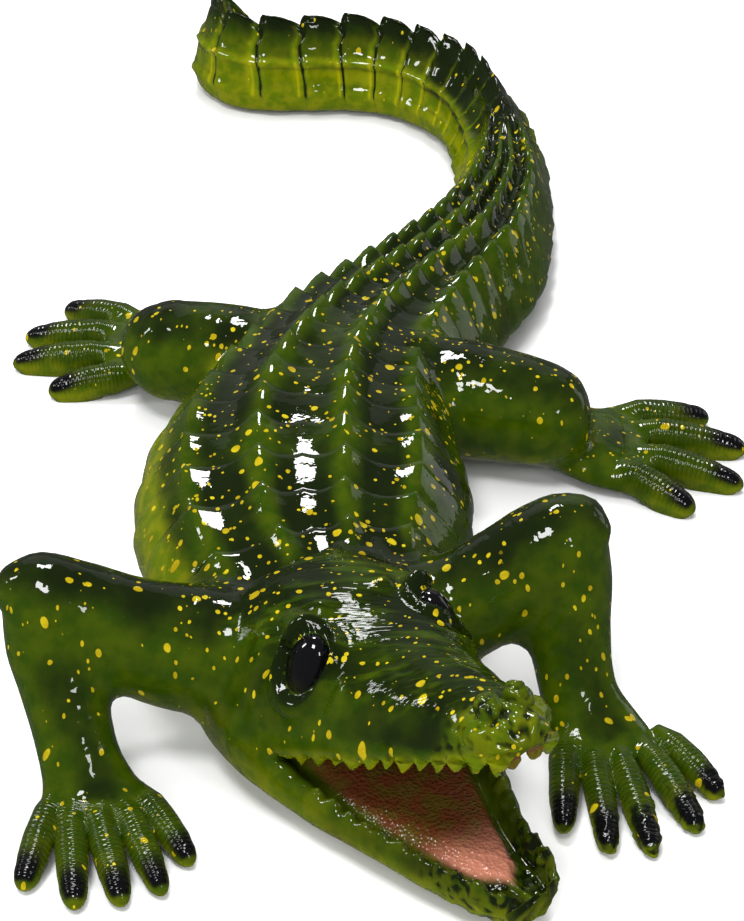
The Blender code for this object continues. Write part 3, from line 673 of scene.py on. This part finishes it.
def lower_jaw():
    """The lower jaw: a trough between two knobbly rims, with the tongue lying in it."""
    track = Track([(row[0], 0, 0) + row[1:] for row in LOWER_JAW])
    forward, _, _, rim, waist, bottom, half, narrow, tongue, middle = np.moveaxis(
        track.at(np.linspace(0, track.length, HEAD_SECTIONS)), -1, 0)[..., None]
    place = np.linspace(1, -1, 81)[None, :] + 0 * rim
    size = np.abs(place)
    floor = rim - GROOVE_SHARE * (rim - bottom)
    tongue_half = np.interp(forward, (0, 50, 70, 79, 84), (0.66, 0.64, 0.52, 0.42, 0.02))
    tongue_top = rim - tongue + 1.6 * (1 - (size / 0.66) ** 2)
    on_tongue = smooth_step(size, tongue_half + 0.05, tongue_half - 0.05)
    inner_wall = smooth_step(size, 0.74, 0.86)
    up = floor + (tongue_top - floor) * on_tongue + (rim - floor) * inner_wall
    scute = rim_scutes(forward, np.sign(place))
    up = up + 3.2 * scute * hump(size, 0.91, 0.08)
    up = np.where(size > 0.97, rim - (size - 0.97) / 0.03 * (rim - waist) * 0.5, up)
    lip_out = half * place * (1 - 0.03 * smooth_step(size, 0.9, 0.8))
    lip_out = lip_out + np.sign(place) * 0.8 * scute * smooth_step(size, 0.94, 1)
    angle = np.linspace(0, math.pi, 52)[None, 1:-1] + 0 * rim
    exponent = 2 / 2.4
    depth = np.sin(angle).clip(0, 1) ** exponent
    side = -np.sign(np.cos(angle)) * np.abs(np.cos(angle)) ** exponent
    below_out = half * side * (1 - (1 - narrow) * depth)
    below_up = waist - (waist - bottom) * depth
    out = middle + np.concatenate([lip_out, below_out], axis=1)
    height = np.concatenate([up, below_up], axis=1)
    points = head_point(forward + 0 * out, out, height)
    zero = 0 * below_out
    # The rim is painted dark, and darker between the scutes than on their tops: painted shade between the
    # scutes. The outer edge below is darkened the same way.
    rim_dark = smooth_step(size, 0.76, 0.86) * (0.9 - 0.65 * scute)
    edge_dark = smooth_step(depth, 0.45, 0.05) * (0.5 - 0.42 * rim_scutes(forward, np.sign(side)))
    # Painted shade: the grooves beside the tongue are darkened.
    tongue_groove_shade = smooth_step(size, tongue_half, tongue_half + 0.08) * smooth_step(size, 0.8, 0.74)
    paint = {
        "dark": np.concatenate([np.clip(rim_dark + 0.6 * tongue_groove_shade, 0, 1), edge_dark], axis=1),
        "pale": np.concatenate([0.25 + 0 * size, 0.85 + zero], axis=1),
        "mouth": np.concatenate([on_tongue, zero], axis=1),
        "spatter": np.concatenate([0 * size, 0.1 + zero], axis=1),
    }
    return skin("lower_jaw", JAW_KIND, points, paint)


def tube(track, shares, side, corners, sizes):
    """Rings round a smooth line, at shares of it. Side points across the line there."""
    distances = track.length * shares
    angles = np.arange(corners) * 2 * math.pi / corners
    rings = []
    for distance, row, forward in zip(distances, track.at(distances), track.heading(distances)):
        side = unit(side - forward * np.dot(side, forward))
        up = np.cross(side, forward)
        wide, thick = sizes(row, distance / track.length)
        rings.append(row[:3] + np.outer(np.cos(angles), side) * wide + np.outer(np.sin(angles), up) * thick)
    return np.array(rings), distances


def leg(name, toes_heading, lengths):
    """One leg: lofts that start and end inside each other, and a ball for its elbow or knee."""
    angle = math.radians(toes_heading)
    side = np.array((math.cos(angle), math.sin(angle), 0))
    spacing = 0.5 + 0.5 * np.cos(np.linspace(0, math.pi, LEG_SECTIONS))
    x, y, z, radius = LEG_BALLS[name]
    lofts = [tube(Track(stations), spacing, side, LEG_CORNERS, lambda row, share: row[3:5])[0]
             for stations in lengths]
    across = Track(((x - radius, y, z), (x + radius, y, z)))
    lofts.append(tube(across, spacing, np.array((0, 1, 0)), LEG_CORNERS,
                      lambda row, share: ball(radius, share))[0])
    shapes = []
    for i, points in enumerate(lofts):
        upward = unit(points - points.mean(axis=1, keepdims=True))[..., 2]
        shapes.append(skin(f"{name}_length_{i}", LEG_KIND, points, {
            "dark": 0.75 * smooth_step(upward, 0.25, 0.9), "pale": 0.5 * smooth_step(upward, 0.0, -0.8),
            "scales": 0.8 + 0 * upward, "spatter": 0.25 + 0.35 * smooth_step(upward, 0, 0.6),
        }))
    return shapes


def ball(radius, share):
    """Half width of a ball at a share of the way through it, both ways."""
    return (radius * math.sqrt(max(1 - (2 * share - 1) ** 2, 0.003)),) * 2


def toe(name, width, shape, root_x, root_y, tip_x, tip_y):
    """A toe that tapers from the palm to a blunt tip, dark on top of its last third."""
    middle = ((root_x + tip_x) / 2, (root_y + tip_y) / 2, TOE_MIDDLE_HEIGHT)
    track = Track(((root_x, root_y, TOE_ROOT_HEIGHT), middle, (tip_x, tip_y, TOE_TIP_HEIGHT)))
    side = np.array((root_y - tip_y, tip_x - root_x, 0))
    shares, widths = zip(*shape)

    def sizes(row, share):
        return (width * rounded(share, shares, widths),) * 2

    shares_along = 1 - np.linspace(0, 1, TOE_SECTIONS) ** 1.5
    points, distances = tube(track, shares_along, side, TOE_CORNERS, sizes)
    share = (distances / track.length)[:, None]
    upward = unit(points - points.mean(axis=1, keepdims=True))[..., 2]
    on_top = smooth_step(upward, -0.15, 0.45)
    claw = smooth_step(share, 0.5, 0.88) * smooth_step(share, 1.0, 0.93) * smooth_step(upward, 0.0, 0.8)
    dark = 0.4 * smooth_step(upward, 0.1, 0.9) * smooth_step(share, 0.1, 0.3)
    pale = 0.3 + 0.35 * smooth_step(share, 0.3, 0.9) - 0.25 * on_top
    rings = smooth_step(share, 0.1, 0.3) * smooth_step(share, 1, 0.85)
    rings = rings * (0.3 + 0.7 * smooth_step(upward, -0.3, 0.6))
    return skin(name, TOE_KIND, points, {
        "dark": dark, "pale": np.clip(pale, 0, 1), "claw": claw, "rings": rings,
        "along": distances[:, None] + 0 * upward, "spatter": 0.3 * on_top * (1 - claw),
    })


def rounded(share, shares, widths):
    """A width read between stations, closing like a ball at the end."""
    end = max(share - ROUND_END, 0) / (1 - ROUND_END)
    return float(np.interp(min(share, ROUND_END), shares, widths)) * math.sqrt(max(1 - end**2, 0.004))


def ellipsoid(name, kind, middle, radii, lean, paint, columns=34, rows=24):
    """A ball squashed along the head's own forward, sideways and upward directions, then leant."""
    shape = bmesh.new()
    turn = Matrix.Rotation(HEAD_TURN - math.pi / 2, 4, "Z") @ Matrix.Rotation(lean, 4, "X")
    place = Matrix.Translation(Vector(middle)) @ turn @ Matrix.Diagonal((*radii, 1))
    bmesh.ops.create_uvsphere(shape, u_segments=columns, v_segments=rows, radius=1, matrix=place)
    return finish_skin(name, kind, mesh_of(shape, name), paint)


def tooth(name, middle, downwards, lean, size, dark):
    """A small pointed tooth, slightly rounded at its tip and leaning outwards."""
    shares = np.array((0, 0.25, 0.5, 0.72, 0.88, 0.97))
    radii = np.array((1.1, 0.92, 0.7, 0.45, 0.24, 0.1)) * TOOTH_RADIUS * size
    angles = np.arange(10) * 2 * math.pi / 10
    up = -1 if downwards else 1
    points = np.empty((len(shares), len(angles), 3))
    points[..., 0] = middle[0] + lean[0] * shares[:, None] ** 2 + radii[:, None] * np.cos(angles)
    points[..., 1] = middle[1] + lean[1] * shares[:, None] ** 2 + radii[:, None] * np.sin(angles)
    points[..., 2] = middle[2] + up * TOOTH_LENGTH * size * (shares[:, None] - 0.4)
    pink = smooth_step(shares, 0.7, 1)[:, None] * 0.5 + 0 * points[..., 0]
    return skin(name, TOOTH_KIND, points, {"pale": 0.9 - dark, "dark": dark, "mouth": pink})


def column(table, forward, place):
    """One column of a head table, read between its stations."""
    return float(np.interp(forward, [row[0] for row in table], [row[place] for row in table]))


def face():
    """Eyes, brows and nostrils, the same on both sides."""
    shapes = []
    for side, sign in (("left", 1), ("right", -1)):
        for name, (forward, out, up), radii, lean in FACE:
            kind = EYE_KIND if name == "eye" else FACE_KIND
            paint = {
                "eye": {}, "brow": {"dark": 0.55, "spatter": 0.9, "wrinkles": 0.4},
                "nostril": {"pale": 0.35, "dark": 0.3}, "snout_swelling": {"pale": 0.5, "spatter": 0.6},
                "front_tooth": {"pale": 0.6, "mouth": 0.55},
            }[name]
            middle = head_point(forward, sign * out, up)
            shapes.append(ellipsoid(f"{side}_{name}", kind, middle, radii, sign * math.radians(lean), paint))
    return shapes


def tooth_places(table, span, count):
    """Where the teeth of one row stand along the head."""
    front = table[-1][0] - TEETH_TIP_CLEARANCE
    return np.linspace(front - span, front, count)


def teeth():
    """A row of teeth along each lip and each rim."""
    shapes = []
    for side, sign in (("left", 1), ("right", -1)):
        lean = head_point(0, sign * 0.8, 0) - head_point(0, 0, 0)
        for i, forward in enumerate(tooth_places(UPPER_HEAD, UPPER_TEETH_SPAN, UPPER_TEETH)):
            half = column(UPPER_HEAD, forward, 3)
            middle = head_point(forward, sign * 0.88 * half, column(UPPER_HEAD, forward, 1) - 0.6)
            size = 1 + 0.18 * math.sin(2.3 * i + 0.4) + 0.25 * smooth_step(forward, 70, 84)
            shapes.append(tooth(f"{side}_upper_tooth_{i}", middle, True, lean, size, 0))
        for i, forward in enumerate(tooth_places(LOWER_JAW, LOWER_TEETH_SPAN, LOWER_TEETH)):
            out = column(LOWER_JAW, forward, 7) + sign * 0.86 * column(LOWER_JAW, forward, 4)
            middle = head_point(forward, out, column(LOWER_JAW, forward, 1) + 0.4)
            size = 1 + 0.2 * math.sin(1.7 * i)
            shapes.append(tooth(f"{side}_lower_tooth_{i}", middle, False, lean, size, 0.45))
    return shapes


def ground():
    """What lies below the ground, to cut the soles flat."""
    shape = bmesh.new()
    place = Matrix.Translation((0, 50, -20)) @ Matrix.Diagonal((500, 900, 40, 1))
    bmesh.ops.create_cube(shape, size=1, matrix=place)
    mesh = mesh_of(shape, "ground")
    for material in KIND_MATERIALS:
        mesh.materials.append(material)
    return bpy.data.objects.new("ground", mesh)


def join(parts):
    """One closed skin from all the lofts, cut flat under the soles."""
    figure, *others = parts
    kept = bpy.data.collections.new("crocodile_look")
    bpy.context.scene.collection.children.link(kept)
    kept.objects.link(figure)
    removed = []
    for name, operation, shapes in others:
        collection = bpy.data.collections.new(name)
        bpy.context.scene.collection.children.link(collection)
        for shape in shapes:
            collection.objects.link(shape)
            removed.append(shape)
        modifier = figure.modifiers.new(name, "BOOLEAN")
        modifier.operation = operation
        modifier.operand_type = "COLLECTION"
        modifier.collection = collection
        modifier.solver = "MANIFOLD"
    seen = figure.evaluated_get(bpy.context.evaluated_depsgraph_get())
    mesh = bpy.data.meshes.new_from_object(seen)
    for name, operation, shapes in others:
        bpy.data.collections.remove(bpy.data.collections[name])
    for shape in removed + [figure]:
        bpy.data.objects.remove(shape, do_unlink=True)
    piece = bpy.data.objects.new("crocodile_casting", mesh)
    kept.objects.link(piece)
    return piece


def set_points(mesh, points):
    mesh.vertices.foreach_set("co", points.reshape(-1))
    mesh.update()


def look_up_paint(points):
    """The paint at the source point nearest to each point of the joined skin."""
    source = np.concatenate(SOURCE_POINTS)
    paint = np.concatenate(SOURCE_PAINT)
    tree = kdtree.KDTree(len(source))
    for i, point in enumerate(source):
        tree.insert(point, i)
    tree.balance()
    return paint[[tree.find(point)[1] for point in points]]


def kinds_round_vertices(mesh):
    """How far the nearest join's smoothing reaches from each vertex, and its highest kind."""
    shape = bmesh.new()
    shape.from_mesh(mesh)
    reach = np.zeros(len(shape.verts))
    for edge in shape.edges:
        kinds = {face.material_index for face in edge.link_faces}
        joins = len(kinds) > 1
        if not joins and len(edge.link_faces) == 2 and kinds & {LEG_KIND, JAW_KIND}:
            joins = edge.calc_face_angle(0) > JOIN_ANGLE
        for vertex in edge.verts if joins else ():
            reach[vertex.index] = max(reach[vertex.index], min(JOIN_REACH[kind] for kind in kinds))
    kind = np.zeros(len(shape.verts), int)
    for face in shape.faces:
        for vertex in face.verts:
            kind[vertex.index] = max(kind[vertex.index], face.material_index)
    shape.free()
    return reach, kind


def smooth_joins(mesh, paint):
    """Fills the creases where lofts meet, hardly wears their edges, and spreads their paint."""
    points = read(mesh.vertices, "co")
    normals = read(mesh.vertices, "normal")
    ends = read(mesh.edges, "vertices", 2, int)
    reach, kind = kinds_round_vertices(mesh)
    left = reach.copy()
    for _ in range(40):
        length = np.linalg.norm(points[ends[:, 0]] - points[ends[:, 1]], axis=1)
        before = left.copy()
        np.maximum.at(left, ends[:, 0], before[ends[:, 1]] - length)
        np.maximum.at(left, ends[:, 1], before[ends[:, 0]] - length)
    weight = smooth_step(left, 0, 6)[:, None]
    weight = np.maximum(weight, smooth_step(left, 0, 1.2)[:, None] * 0.5)
    weight[kind == EYE_KIND] = 0
    count = np.zeros(len(points))
    np.add.at(count, ends.reshape(-1), 1)
    count = np.maximum(count, 1)[:, None]
    floor = points[:, 2] < 0.02
    for _ in range(JOIN_TURNS):
        for field in (points, paint):
            total = np.zeros_like(field)
            np.add.at(total, ends[:, 0], field[ends[:, 1]])
            np.add.at(total, ends[:, 1], field[ends[:, 0]])
            change = JOIN_PULL * weight * (total / count - field)
            if field is points:
                away = np.sum(change * normals, axis=1, keepdims=True)
                change -= WEAR_TAKEN_BACK * normals * np.minimum(away, 0)
                change[floor, 2] = 0
            field += change
    points[:, 2] = np.maximum(points[:, 2], 0)
    set_points(mesh, points)
    return kind


def eye_distance(forward, apart, height):
    """How far points are from the middle of the eye: 1 is the eye's own skin."""
    _, (eye_forward, eye_out, eye_up), (eye_long, eye_wide, eye_tall), lean = FACE[0]
    sine = math.sin(math.radians(lean))
    cosine = math.cos(math.radians(lean))
    upward = (height - eye_up) * cosine - (apart - eye_out) * sine
    outward = (apart - eye_out) * cosine + (height - eye_up) * sine
    onward = forward - eye_forward
    return np.sqrt((onward / eye_long) ** 2 + (outward / eye_wide) ** 2 + (upward / eye_tall) ** 2)


def add_relief(mesh, kind, paint):
    """Lumps, dark lids and folds of the head, and the unevenness of a hand-modelled figure."""
    points = read(mesh.vertices, "co")
    normals = read(mesh.vertices, "normal")
    forward, sideways, height = head_place(points)
    apart = np.abs(sideways)
    soft = kind != EYE_KIND
    rise = np.zeros(len(points))
    on_head = soft & (forward > -40)
    for _, (at_forward, at_side, at_height), (r_forward, r_side, r_height), amount in LUMPS:
        far = ((forward - at_forward) / r_forward) ** 2 + ((height - at_height) / r_height) ** 2
        far += ((apart - at_side) / r_side) ** 2
        rise += on_head * amount * np.exp(-far)
    ring = eye_distance(forward, apart, height)
    rise += on_head * (LID_RISE * hump(ring, 1.32, 0.2) - 0.3 * LID_RISE * hump(ring, 1.04, 0.07))
    rim = on_head * hump(ring, 1.12, 0.2)
    paint[:, PAINT_NAMES.index("dark")] += 0.8 * rim
    paint[:, PAINT_NAMES.index("spatter")] *= 1 - rim
    points += normals * rise[:, None]
    at_tip = smooth_step(forward, 64, 76) * on_head
    for (scale, amount), where in [(wave, soft) for wave in UNEVENNESS] + [(TIP_KNOBS, at_tip)]:
        swell = np.array([noise.noise(Vector(point) * scale) for point in points])
        points += normals * (swell * amount * where)[:, None]
    # Painted shade: the hollows between the knobs at the snout's tip are darkened.
    paint[:, PAINT_NAMES.index("dark")] += 1.6 * at_tip * np.clip(-swell, 0, 0.4)
    points[:, 2] = np.maximum(points[:, 2], 0)
    set_points(mesh, points)


def fit_to_frame(mesh):
    """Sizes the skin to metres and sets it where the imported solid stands."""
    points = read(mesh.vertices, "co") * GRID
    low, high = (np.array(corner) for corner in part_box("crocodile"))
    middle = (points.min(axis=0) + points.max(axis=0)) / 2
    shift = (low + high) / 2 - middle
    shift[2] = low[2]
    set_points(mesh, points + shift)
    return shift


def store(mesh, name, values):
    layer = mesh.attributes.new(name, "FLOAT", "POINT")
    layer.data.foreach_set("value", np.ascontiguousarray(values, dtype=np.float32))


class Nodes:
    """Short names for the nodes of one material."""

    def __init__(self, name):
        self.material = bpy.data.materials.new(name)
        self.material.use_nodes = True
        self.tree = self.material.node_tree
        self.shader = self.tree.nodes["Principled BSDF"]

    def link(self, value, socket):
        if isinstance(value, (int, float)):
            socket.default_value = value
        elif isinstance(value, tuple):
            socket.default_value = (*value, 1) if len(socket.default_value) == 4 else value
        else:
            self.tree.links.new(value, socket)

    def node(self, kind, out, inputs, **settings):
        node = self.tree.nodes.new(kind)
        for key, value in settings.items():
            setattr(node, key, value)
        for key, value in inputs.items():
            self.link(value, node.inputs[key])
        return node.outputs[out]

    def attribute(self, name):
        return self.node("ShaderNodeAttribute", "Fac", {}, attribute_name=name)

    def place(self, scale=(1, 1, 1), turn=0.0):
        spot = self.node("ShaderNodeTexCoord", "Object", {})
        return self.node("ShaderNodeMapping", "Vector", {
            "Vector": spot, "Scale": scale, "Rotation": (0.0, 0.0, turn)})

    def shade(self, inputs):
        """Sets or links the shader's own sockets, and gives the finished material."""
        for key, value in inputs.items():
            self.link(value, self.shader.inputs[key])
        return self.material

    def math(self, operation, a, b=0.0, clamp=False):
        return self.node("ShaderNodeMath", 0, {0: a, 1: b}, operation=operation, use_clamp=clamp)

    def times(self, a, b):
        return self.math("MULTIPLY", a, b)

    def ramp(self, value, low, high, bottom=0.0, top=1.0):
        return self.node("ShaderNodeMapRange", 0, {0: value, 1: low, 2: high, 3: bottom, 4: top},
                         interpolation_type="SMOOTHSTEP")

    def noise(self, vector, scale, detail=2.0, roughness=0.5):
        return self.node("ShaderNodeTexNoise", "Fac", {
            "Vector": vector, "Scale": scale, "Detail": detail, "Roughness": roughness})

    def cells(self, vector, scale):
        return self.node("ShaderNodeTexVoronoi", "Distance", {"Vector": vector, "Scale": scale})

    def mix(self, share, a, b):
        node = self.tree.nodes.new("ShaderNodeMix")
        node.data_type = "RGBA"
        self.link(share, node.inputs["Factor"])
        self.link(a, node.inputs[6])
        self.link(b, node.inputs[7])
        return node.outputs[2]

    def bump(self, height, depth, strength=1.0, normal=None):
        inputs = {"Height": height, "Distance": depth, "Strength": strength}
        if normal is not None:
            inputs["Normal"] = normal
        return self.node("ShaderNodeBump", "Normal", inputs)


def spots(paint, spread, scale, least, most):
    """Round drops of many sizes: 1 inside a drop. Spread is the plane or space they fall in."""
    cell = paint.tree.nodes.new("ShaderNodeTexVoronoi")
    paint.link(spread, cell.inputs["Vector"])
    paint.link(scale, cell.inputs["Scale"])
    parts = paint.tree.nodes.new("ShaderNodeSeparateColor")
    paint.link(cell.outputs["Color"], parts.inputs[0])
    radius = paint.ramp(parts.outputs[0], 0.35, 1.0, least, most)
    edge = paint.math("SUBTRACT", radius, cell.outputs["Distance"])
    return paint.ramp(edge, 0.0, 0.03), parts.outputs[1]


def spatter(paint, here):
    """Drops flicked from above, so they run long down the sides, thick in some places."""
    crowd = paint.ramp(paint.noise(here, 17.0, 2.0), 0.34, 0.6, 0.25, 1.0)
    density = paint.times(paint.attribute("spatter"), crowd)
    shown = None
    for scale, most, share, turn in SPATTER:
        fallen = paint.place((1.0, 1.0, DROP_RUN), turn)
        shake = paint.node("ShaderNodeTexNoise", "Color", {
            "Vector": fallen, "Scale": DROP_WOBBLE_SCALE, "Detail": 0.0})
        spread = paint.node("ShaderNodeVectorMath", 0, {0: shake, 1: DROP_WOBBLE, 2: fallen},
                            operation="MULTIPLY_ADD")
        drop, choice = spots(paint, spread, scale, 0.0, most)
        chosen = paint.ramp(paint.math("SUBTRACT", density, paint.times(choice, share)), 0.0, 0.02)
        drop = paint.times(drop, chosen)
        shown = drop if shown is None else paint.math("MAXIMUM", shown, drop)
    return shown


def lacquer():
    """Airbrushed greens with painted shade in grooves and hollows, black claws, pink mouth and ochre
    spatter, all under a gloss coat.
    """
    paint = Nodes("green_lacquer")
    here = paint.place()
    cloud = paint.noise(here, CLOUDS, 3.0)
    fine = paint.noise(here, GRAIN, 3.0)
    wobble = paint.times(paint.math("SUBTRACT", cloud, 0.5), 1.2)

    folds = paint.noise(paint.place((40.0, 300.0, 200.0), -HEAD_TURN + math.pi / 2), 1.0, 3.0)
    streaks = paint.times(paint.ramp(folds, 0.45, 0.7), paint.attribute("wrinkles"))
    dark = paint.math("ADD", paint.attribute("dark"), paint.times(wobble, 1.15))
    dark = paint.math("SUBTRACT", dark, paint.times(streaks, 0.4), clamp=True)
    pale = paint.math("ADD", paint.attribute("pale"), paint.times(wobble, 0.45))
    colour = paint.mix(paint.ramp(fine, 0.3, 0.7), GREEN, GREEN_WARM)
    pale_paint = paint.mix(paint.ramp(fine, 0.35, 0.65), PALE, PALE_WARM)
    colour = paint.mix(paint.ramp(pale, 0.05, 0.95), colour, pale_paint)
    colour = paint.mix(paint.ramp(pale, 1.0, 1.5), colour, YELLOW)
    colour = paint.mix(paint.ramp(dark, 0.1, 0.9), colour, DARK)

    along = paint.math("ADD", paint.attribute("along"), paint.times(fine, 2.2))
    wave = paint.math("SINE", paint.times(along, 2 * math.pi / RING_PITCH))
    claw = paint.math("ADD", paint.attribute("claw"), paint.times(wobble, 0.6))
    rings = paint.times(wave, paint.attribute("rings"))
    # Painted shade: the grooves between the toes' rings are darkened.
    colour = paint.mix(paint.times(paint.ramp(rings, -0.2, -1.0), 0.35), colour, DARK)
    colour = paint.mix(paint.ramp(claw, 0.15, 0.9), colour, CLAW)

    mouth = paint.attribute("mouth")
    near_tip = paint.attribute("near_tip")
    flesh = paint.mix(paint.ramp(fine, 0.4, 0.65), FLESH_DARK, FLESH_OLIVE)
    flesh = paint.mix(paint.ramp(near_tip, 0.68, 0.95), flesh, FLESH)
    colour = paint.mix(paint.ramp(mouth, 0.3, 0.8), colour, flesh)

    drops = spatter(paint, here)
    colour = paint.mix(drops, colour, paint.mix(paint.ramp(fine, 0.35, 0.7), OCHRE, OCHRE_LIGHT))

    scaly = paint.attribute("scales")
    scales = paint.ramp(paint.cells(here, SCALES), 0.6, 0.35)
    patch = paint.times(scaly, paint.ramp(paint.noise(here, SCALE_PATCHES, 1.0), 0.52, 0.66))
    creases = paint.noise(here, CREASES, 2.5, 0.6)
    normal = paint.bump(paint.noise(here, PEEL, 2.0), PEEL_DEPTH, 0.6)
    normal = paint.bump(paint.times(creases, scaly), CREASE_DEPTH, 0.8, normal)
    normal = paint.bump(paint.times(scales, patch), SCALE_DEPTH, 1.0, normal)
    normal = paint.bump(paint.times(folds, paint.attribute("wrinkles")), WRINKLE_DEPTH, 1.0, normal)
    normal = paint.bump(rings, RING_DEPTH, 1.0, normal)
    normal = paint.bump(paint.times(paint.cells(here, PEBBLES), mouth), PEBBLE_DEPTH, 1.0, normal)
    return paint.shade({
        "Base Color": colour, "Normal": normal, "Coat Normal": normal,
        "Roughness": PAINT_ROUGHNESS, "Specular IOR Level": 0.0,
        "Coat IOR": COAT_IOR, "Coat Roughness": COAT_ROUGHNESS,
        "Coat Weight": paint.ramp(paint.attribute("wrinkles"), 0.2, 1.0, 1.0, 0.6),
    })


def eye_paint():
    """Glossy black with an olive glow low down, as on the cast eyes."""
    paint = Nodes("eye_black")
    here = paint.place()
    cloud = paint.times(paint.math("SUBTRACT", paint.noise(here, 120.0, 2.0), 0.5), 0.3)
    low = paint.math("ADD", paint.attribute("eye_height"), cloud)
    return paint.shade({
        "Base Color": paint.mix(paint.ramp(low, 0.1, 0.55), EYE_OLIVE, EYE_BLACK),
        "Normal": paint.bump(paint.noise(here, 260.0, 1.0), 0.0002, 0.2),
        "Roughness": PAINT_ROUGHNESS, "Specular IOR Level": 0.0,
        "Coat Weight": 1.0, "Coat Roughness": 0.02,
    })


def floor_paint():
    paint = Nodes("pale_floor")
    grain = paint.ramp(paint.noise(paint.place(), 9.0, 4.0), 0.3, 0.7)
    colour = paint.mix(grain, FLOOR_DARK, FLOOR_LIGHT)
    return paint.shade({"Base Color": colour, "Roughness": 0.7})


def softbox(name, place, target, width, depth, power, in_gloss):
    light = bpy.data.lights.new(name, "AREA")
    light.shape = "RECTANGLE"
    light.size = width
    light.size_y = depth
    light.energy = power
    lamp = bpy.data.objects.new(name, light)
    lamp.visible_glossy = in_gloss
    lamp.location = place
    lamp.rotation_euler = (Vector(target) - Vector(place)).to_track_quat("-Z", "Y").to_euler()
    bpy.context.scene.collection.objects.link(lamp)


def studio():
    """A pale floor, a dim white room and softboxes."""
    shape = bmesh.new()
    bmesh.ops.create_grid(shape, x_segments=8, y_segments=8, size=FLOOR_SIZE)
    mesh = mesh_of(shape, "floor")
    floor = bpy.data.objects.new("floor", mesh)
    bpy.context.scene.collection.objects.link(floor)
    mesh.materials.append(floor_paint())
    floor.visible_glossy = False

    world = bpy.data.worlds.new("room")
    bpy.context.scene.world = world
    world.use_nodes = True
    world.node_tree.nodes["Background"].inputs["Color"].default_value = (1, 1, 1, 1)
    world.node_tree.nodes["Background"].inputs["Strength"].default_value = ROOM_LIGHT
    for row in SOFTBOXES:
        softbox(*row)


def camera(shift):
    """The photograph's viewpoint: straight ahead of the figure and looking down on it."""
    lens = bpy.data.cameras.new("camera")
    lens.sensor_fit = "AUTO"
    lens.sensor_width = 36
    lens.lens = CAMERA_FOCUS / PHOTO_HEIGHT * lens.sensor_width
    eye = bpy.data.objects.new("camera", lens)
    back = Vector((0, -math.cos(CAMERA_PITCH), math.sin(CAMERA_PITCH)))
    target = Vector(shift)
    eye.location = target + back * CAMERA_DISTANCE
    eye.rotation_euler = (-back).to_track_quat("-Z", "Y").to_euler()
    bpy.context.scene.collection.objects.link(eye)
    bpy.context.scene.camera = eye


KIND_MATERIALS = [bpy.data.materials.new(f"kind_{kind}") for kind in range(8)]
all_legs = []
all_toes = []
for leg_name, (toes_heading, lengths) in LEGS.items():
    all_legs += leg(leg_name + "_leg", toes_heading, lengths)
    width, shape = TOE_FORMS[leg_name.split("_")[1]]
    for i, ends in enumerate(TOES[leg_name]):
        all_toes.append(toe(f"{leg_name}_toe_{i}", width, shape, *ends))
piece = join([
    body(),
    ("heads", "UNION", [upper_head(), lower_jaw()]),
    ("faces", "UNION", face()),
    ("legs", "UNION", all_legs),
    ("toes", "UNION", all_toes),
    ("tooth_rows", "UNION", teeth()),
    ("below_the_ground", "DIFFERENCE", [ground()]),
])
mesh = piece.data
paint = look_up_paint(read(mesh.vertices, "co"))
kind = smooth_joins(mesh, paint)
add_relief(mesh, kind, paint)
forward, sideways, height = head_place(read(mesh.vertices, "co"))
for i, name in enumerate(PAINT_NAMES):
    store(mesh, name, paint[:, i])
store(mesh, "near_tip", np.clip(forward / 80, 0, 1) * smooth_step(height, 45, 30))
store(mesh, "eye_height", (height - FACE[0][1][2]) / FACE[0][2][2] * 0.5 + 0.5)
shift = fit_to_frame(mesh)

faces = read(mesh.polygons, "material_index", 1, int)[:, 0]
mesh.materials.clear()
mesh.materials.append(lacquer())
mesh.materials.append(eye_paint())
mesh.polygons.foreach_set("material_index", (faces == EYE_KIND).astype(int))
mesh.polygons.foreach_set("use_smooth", np.ones(len(mesh.polygons), bool))
for material in KIND_MATERIALS:
    bpy.data.materials.remove(material)

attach(piece, "root")
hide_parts("crocodile")
studio()
camera(shift)

bpy.context.scene.view_settings.view_transform = "Standard"
print("triangles", sum(len(face.vertices) - 2 for face in mesh.polygons))
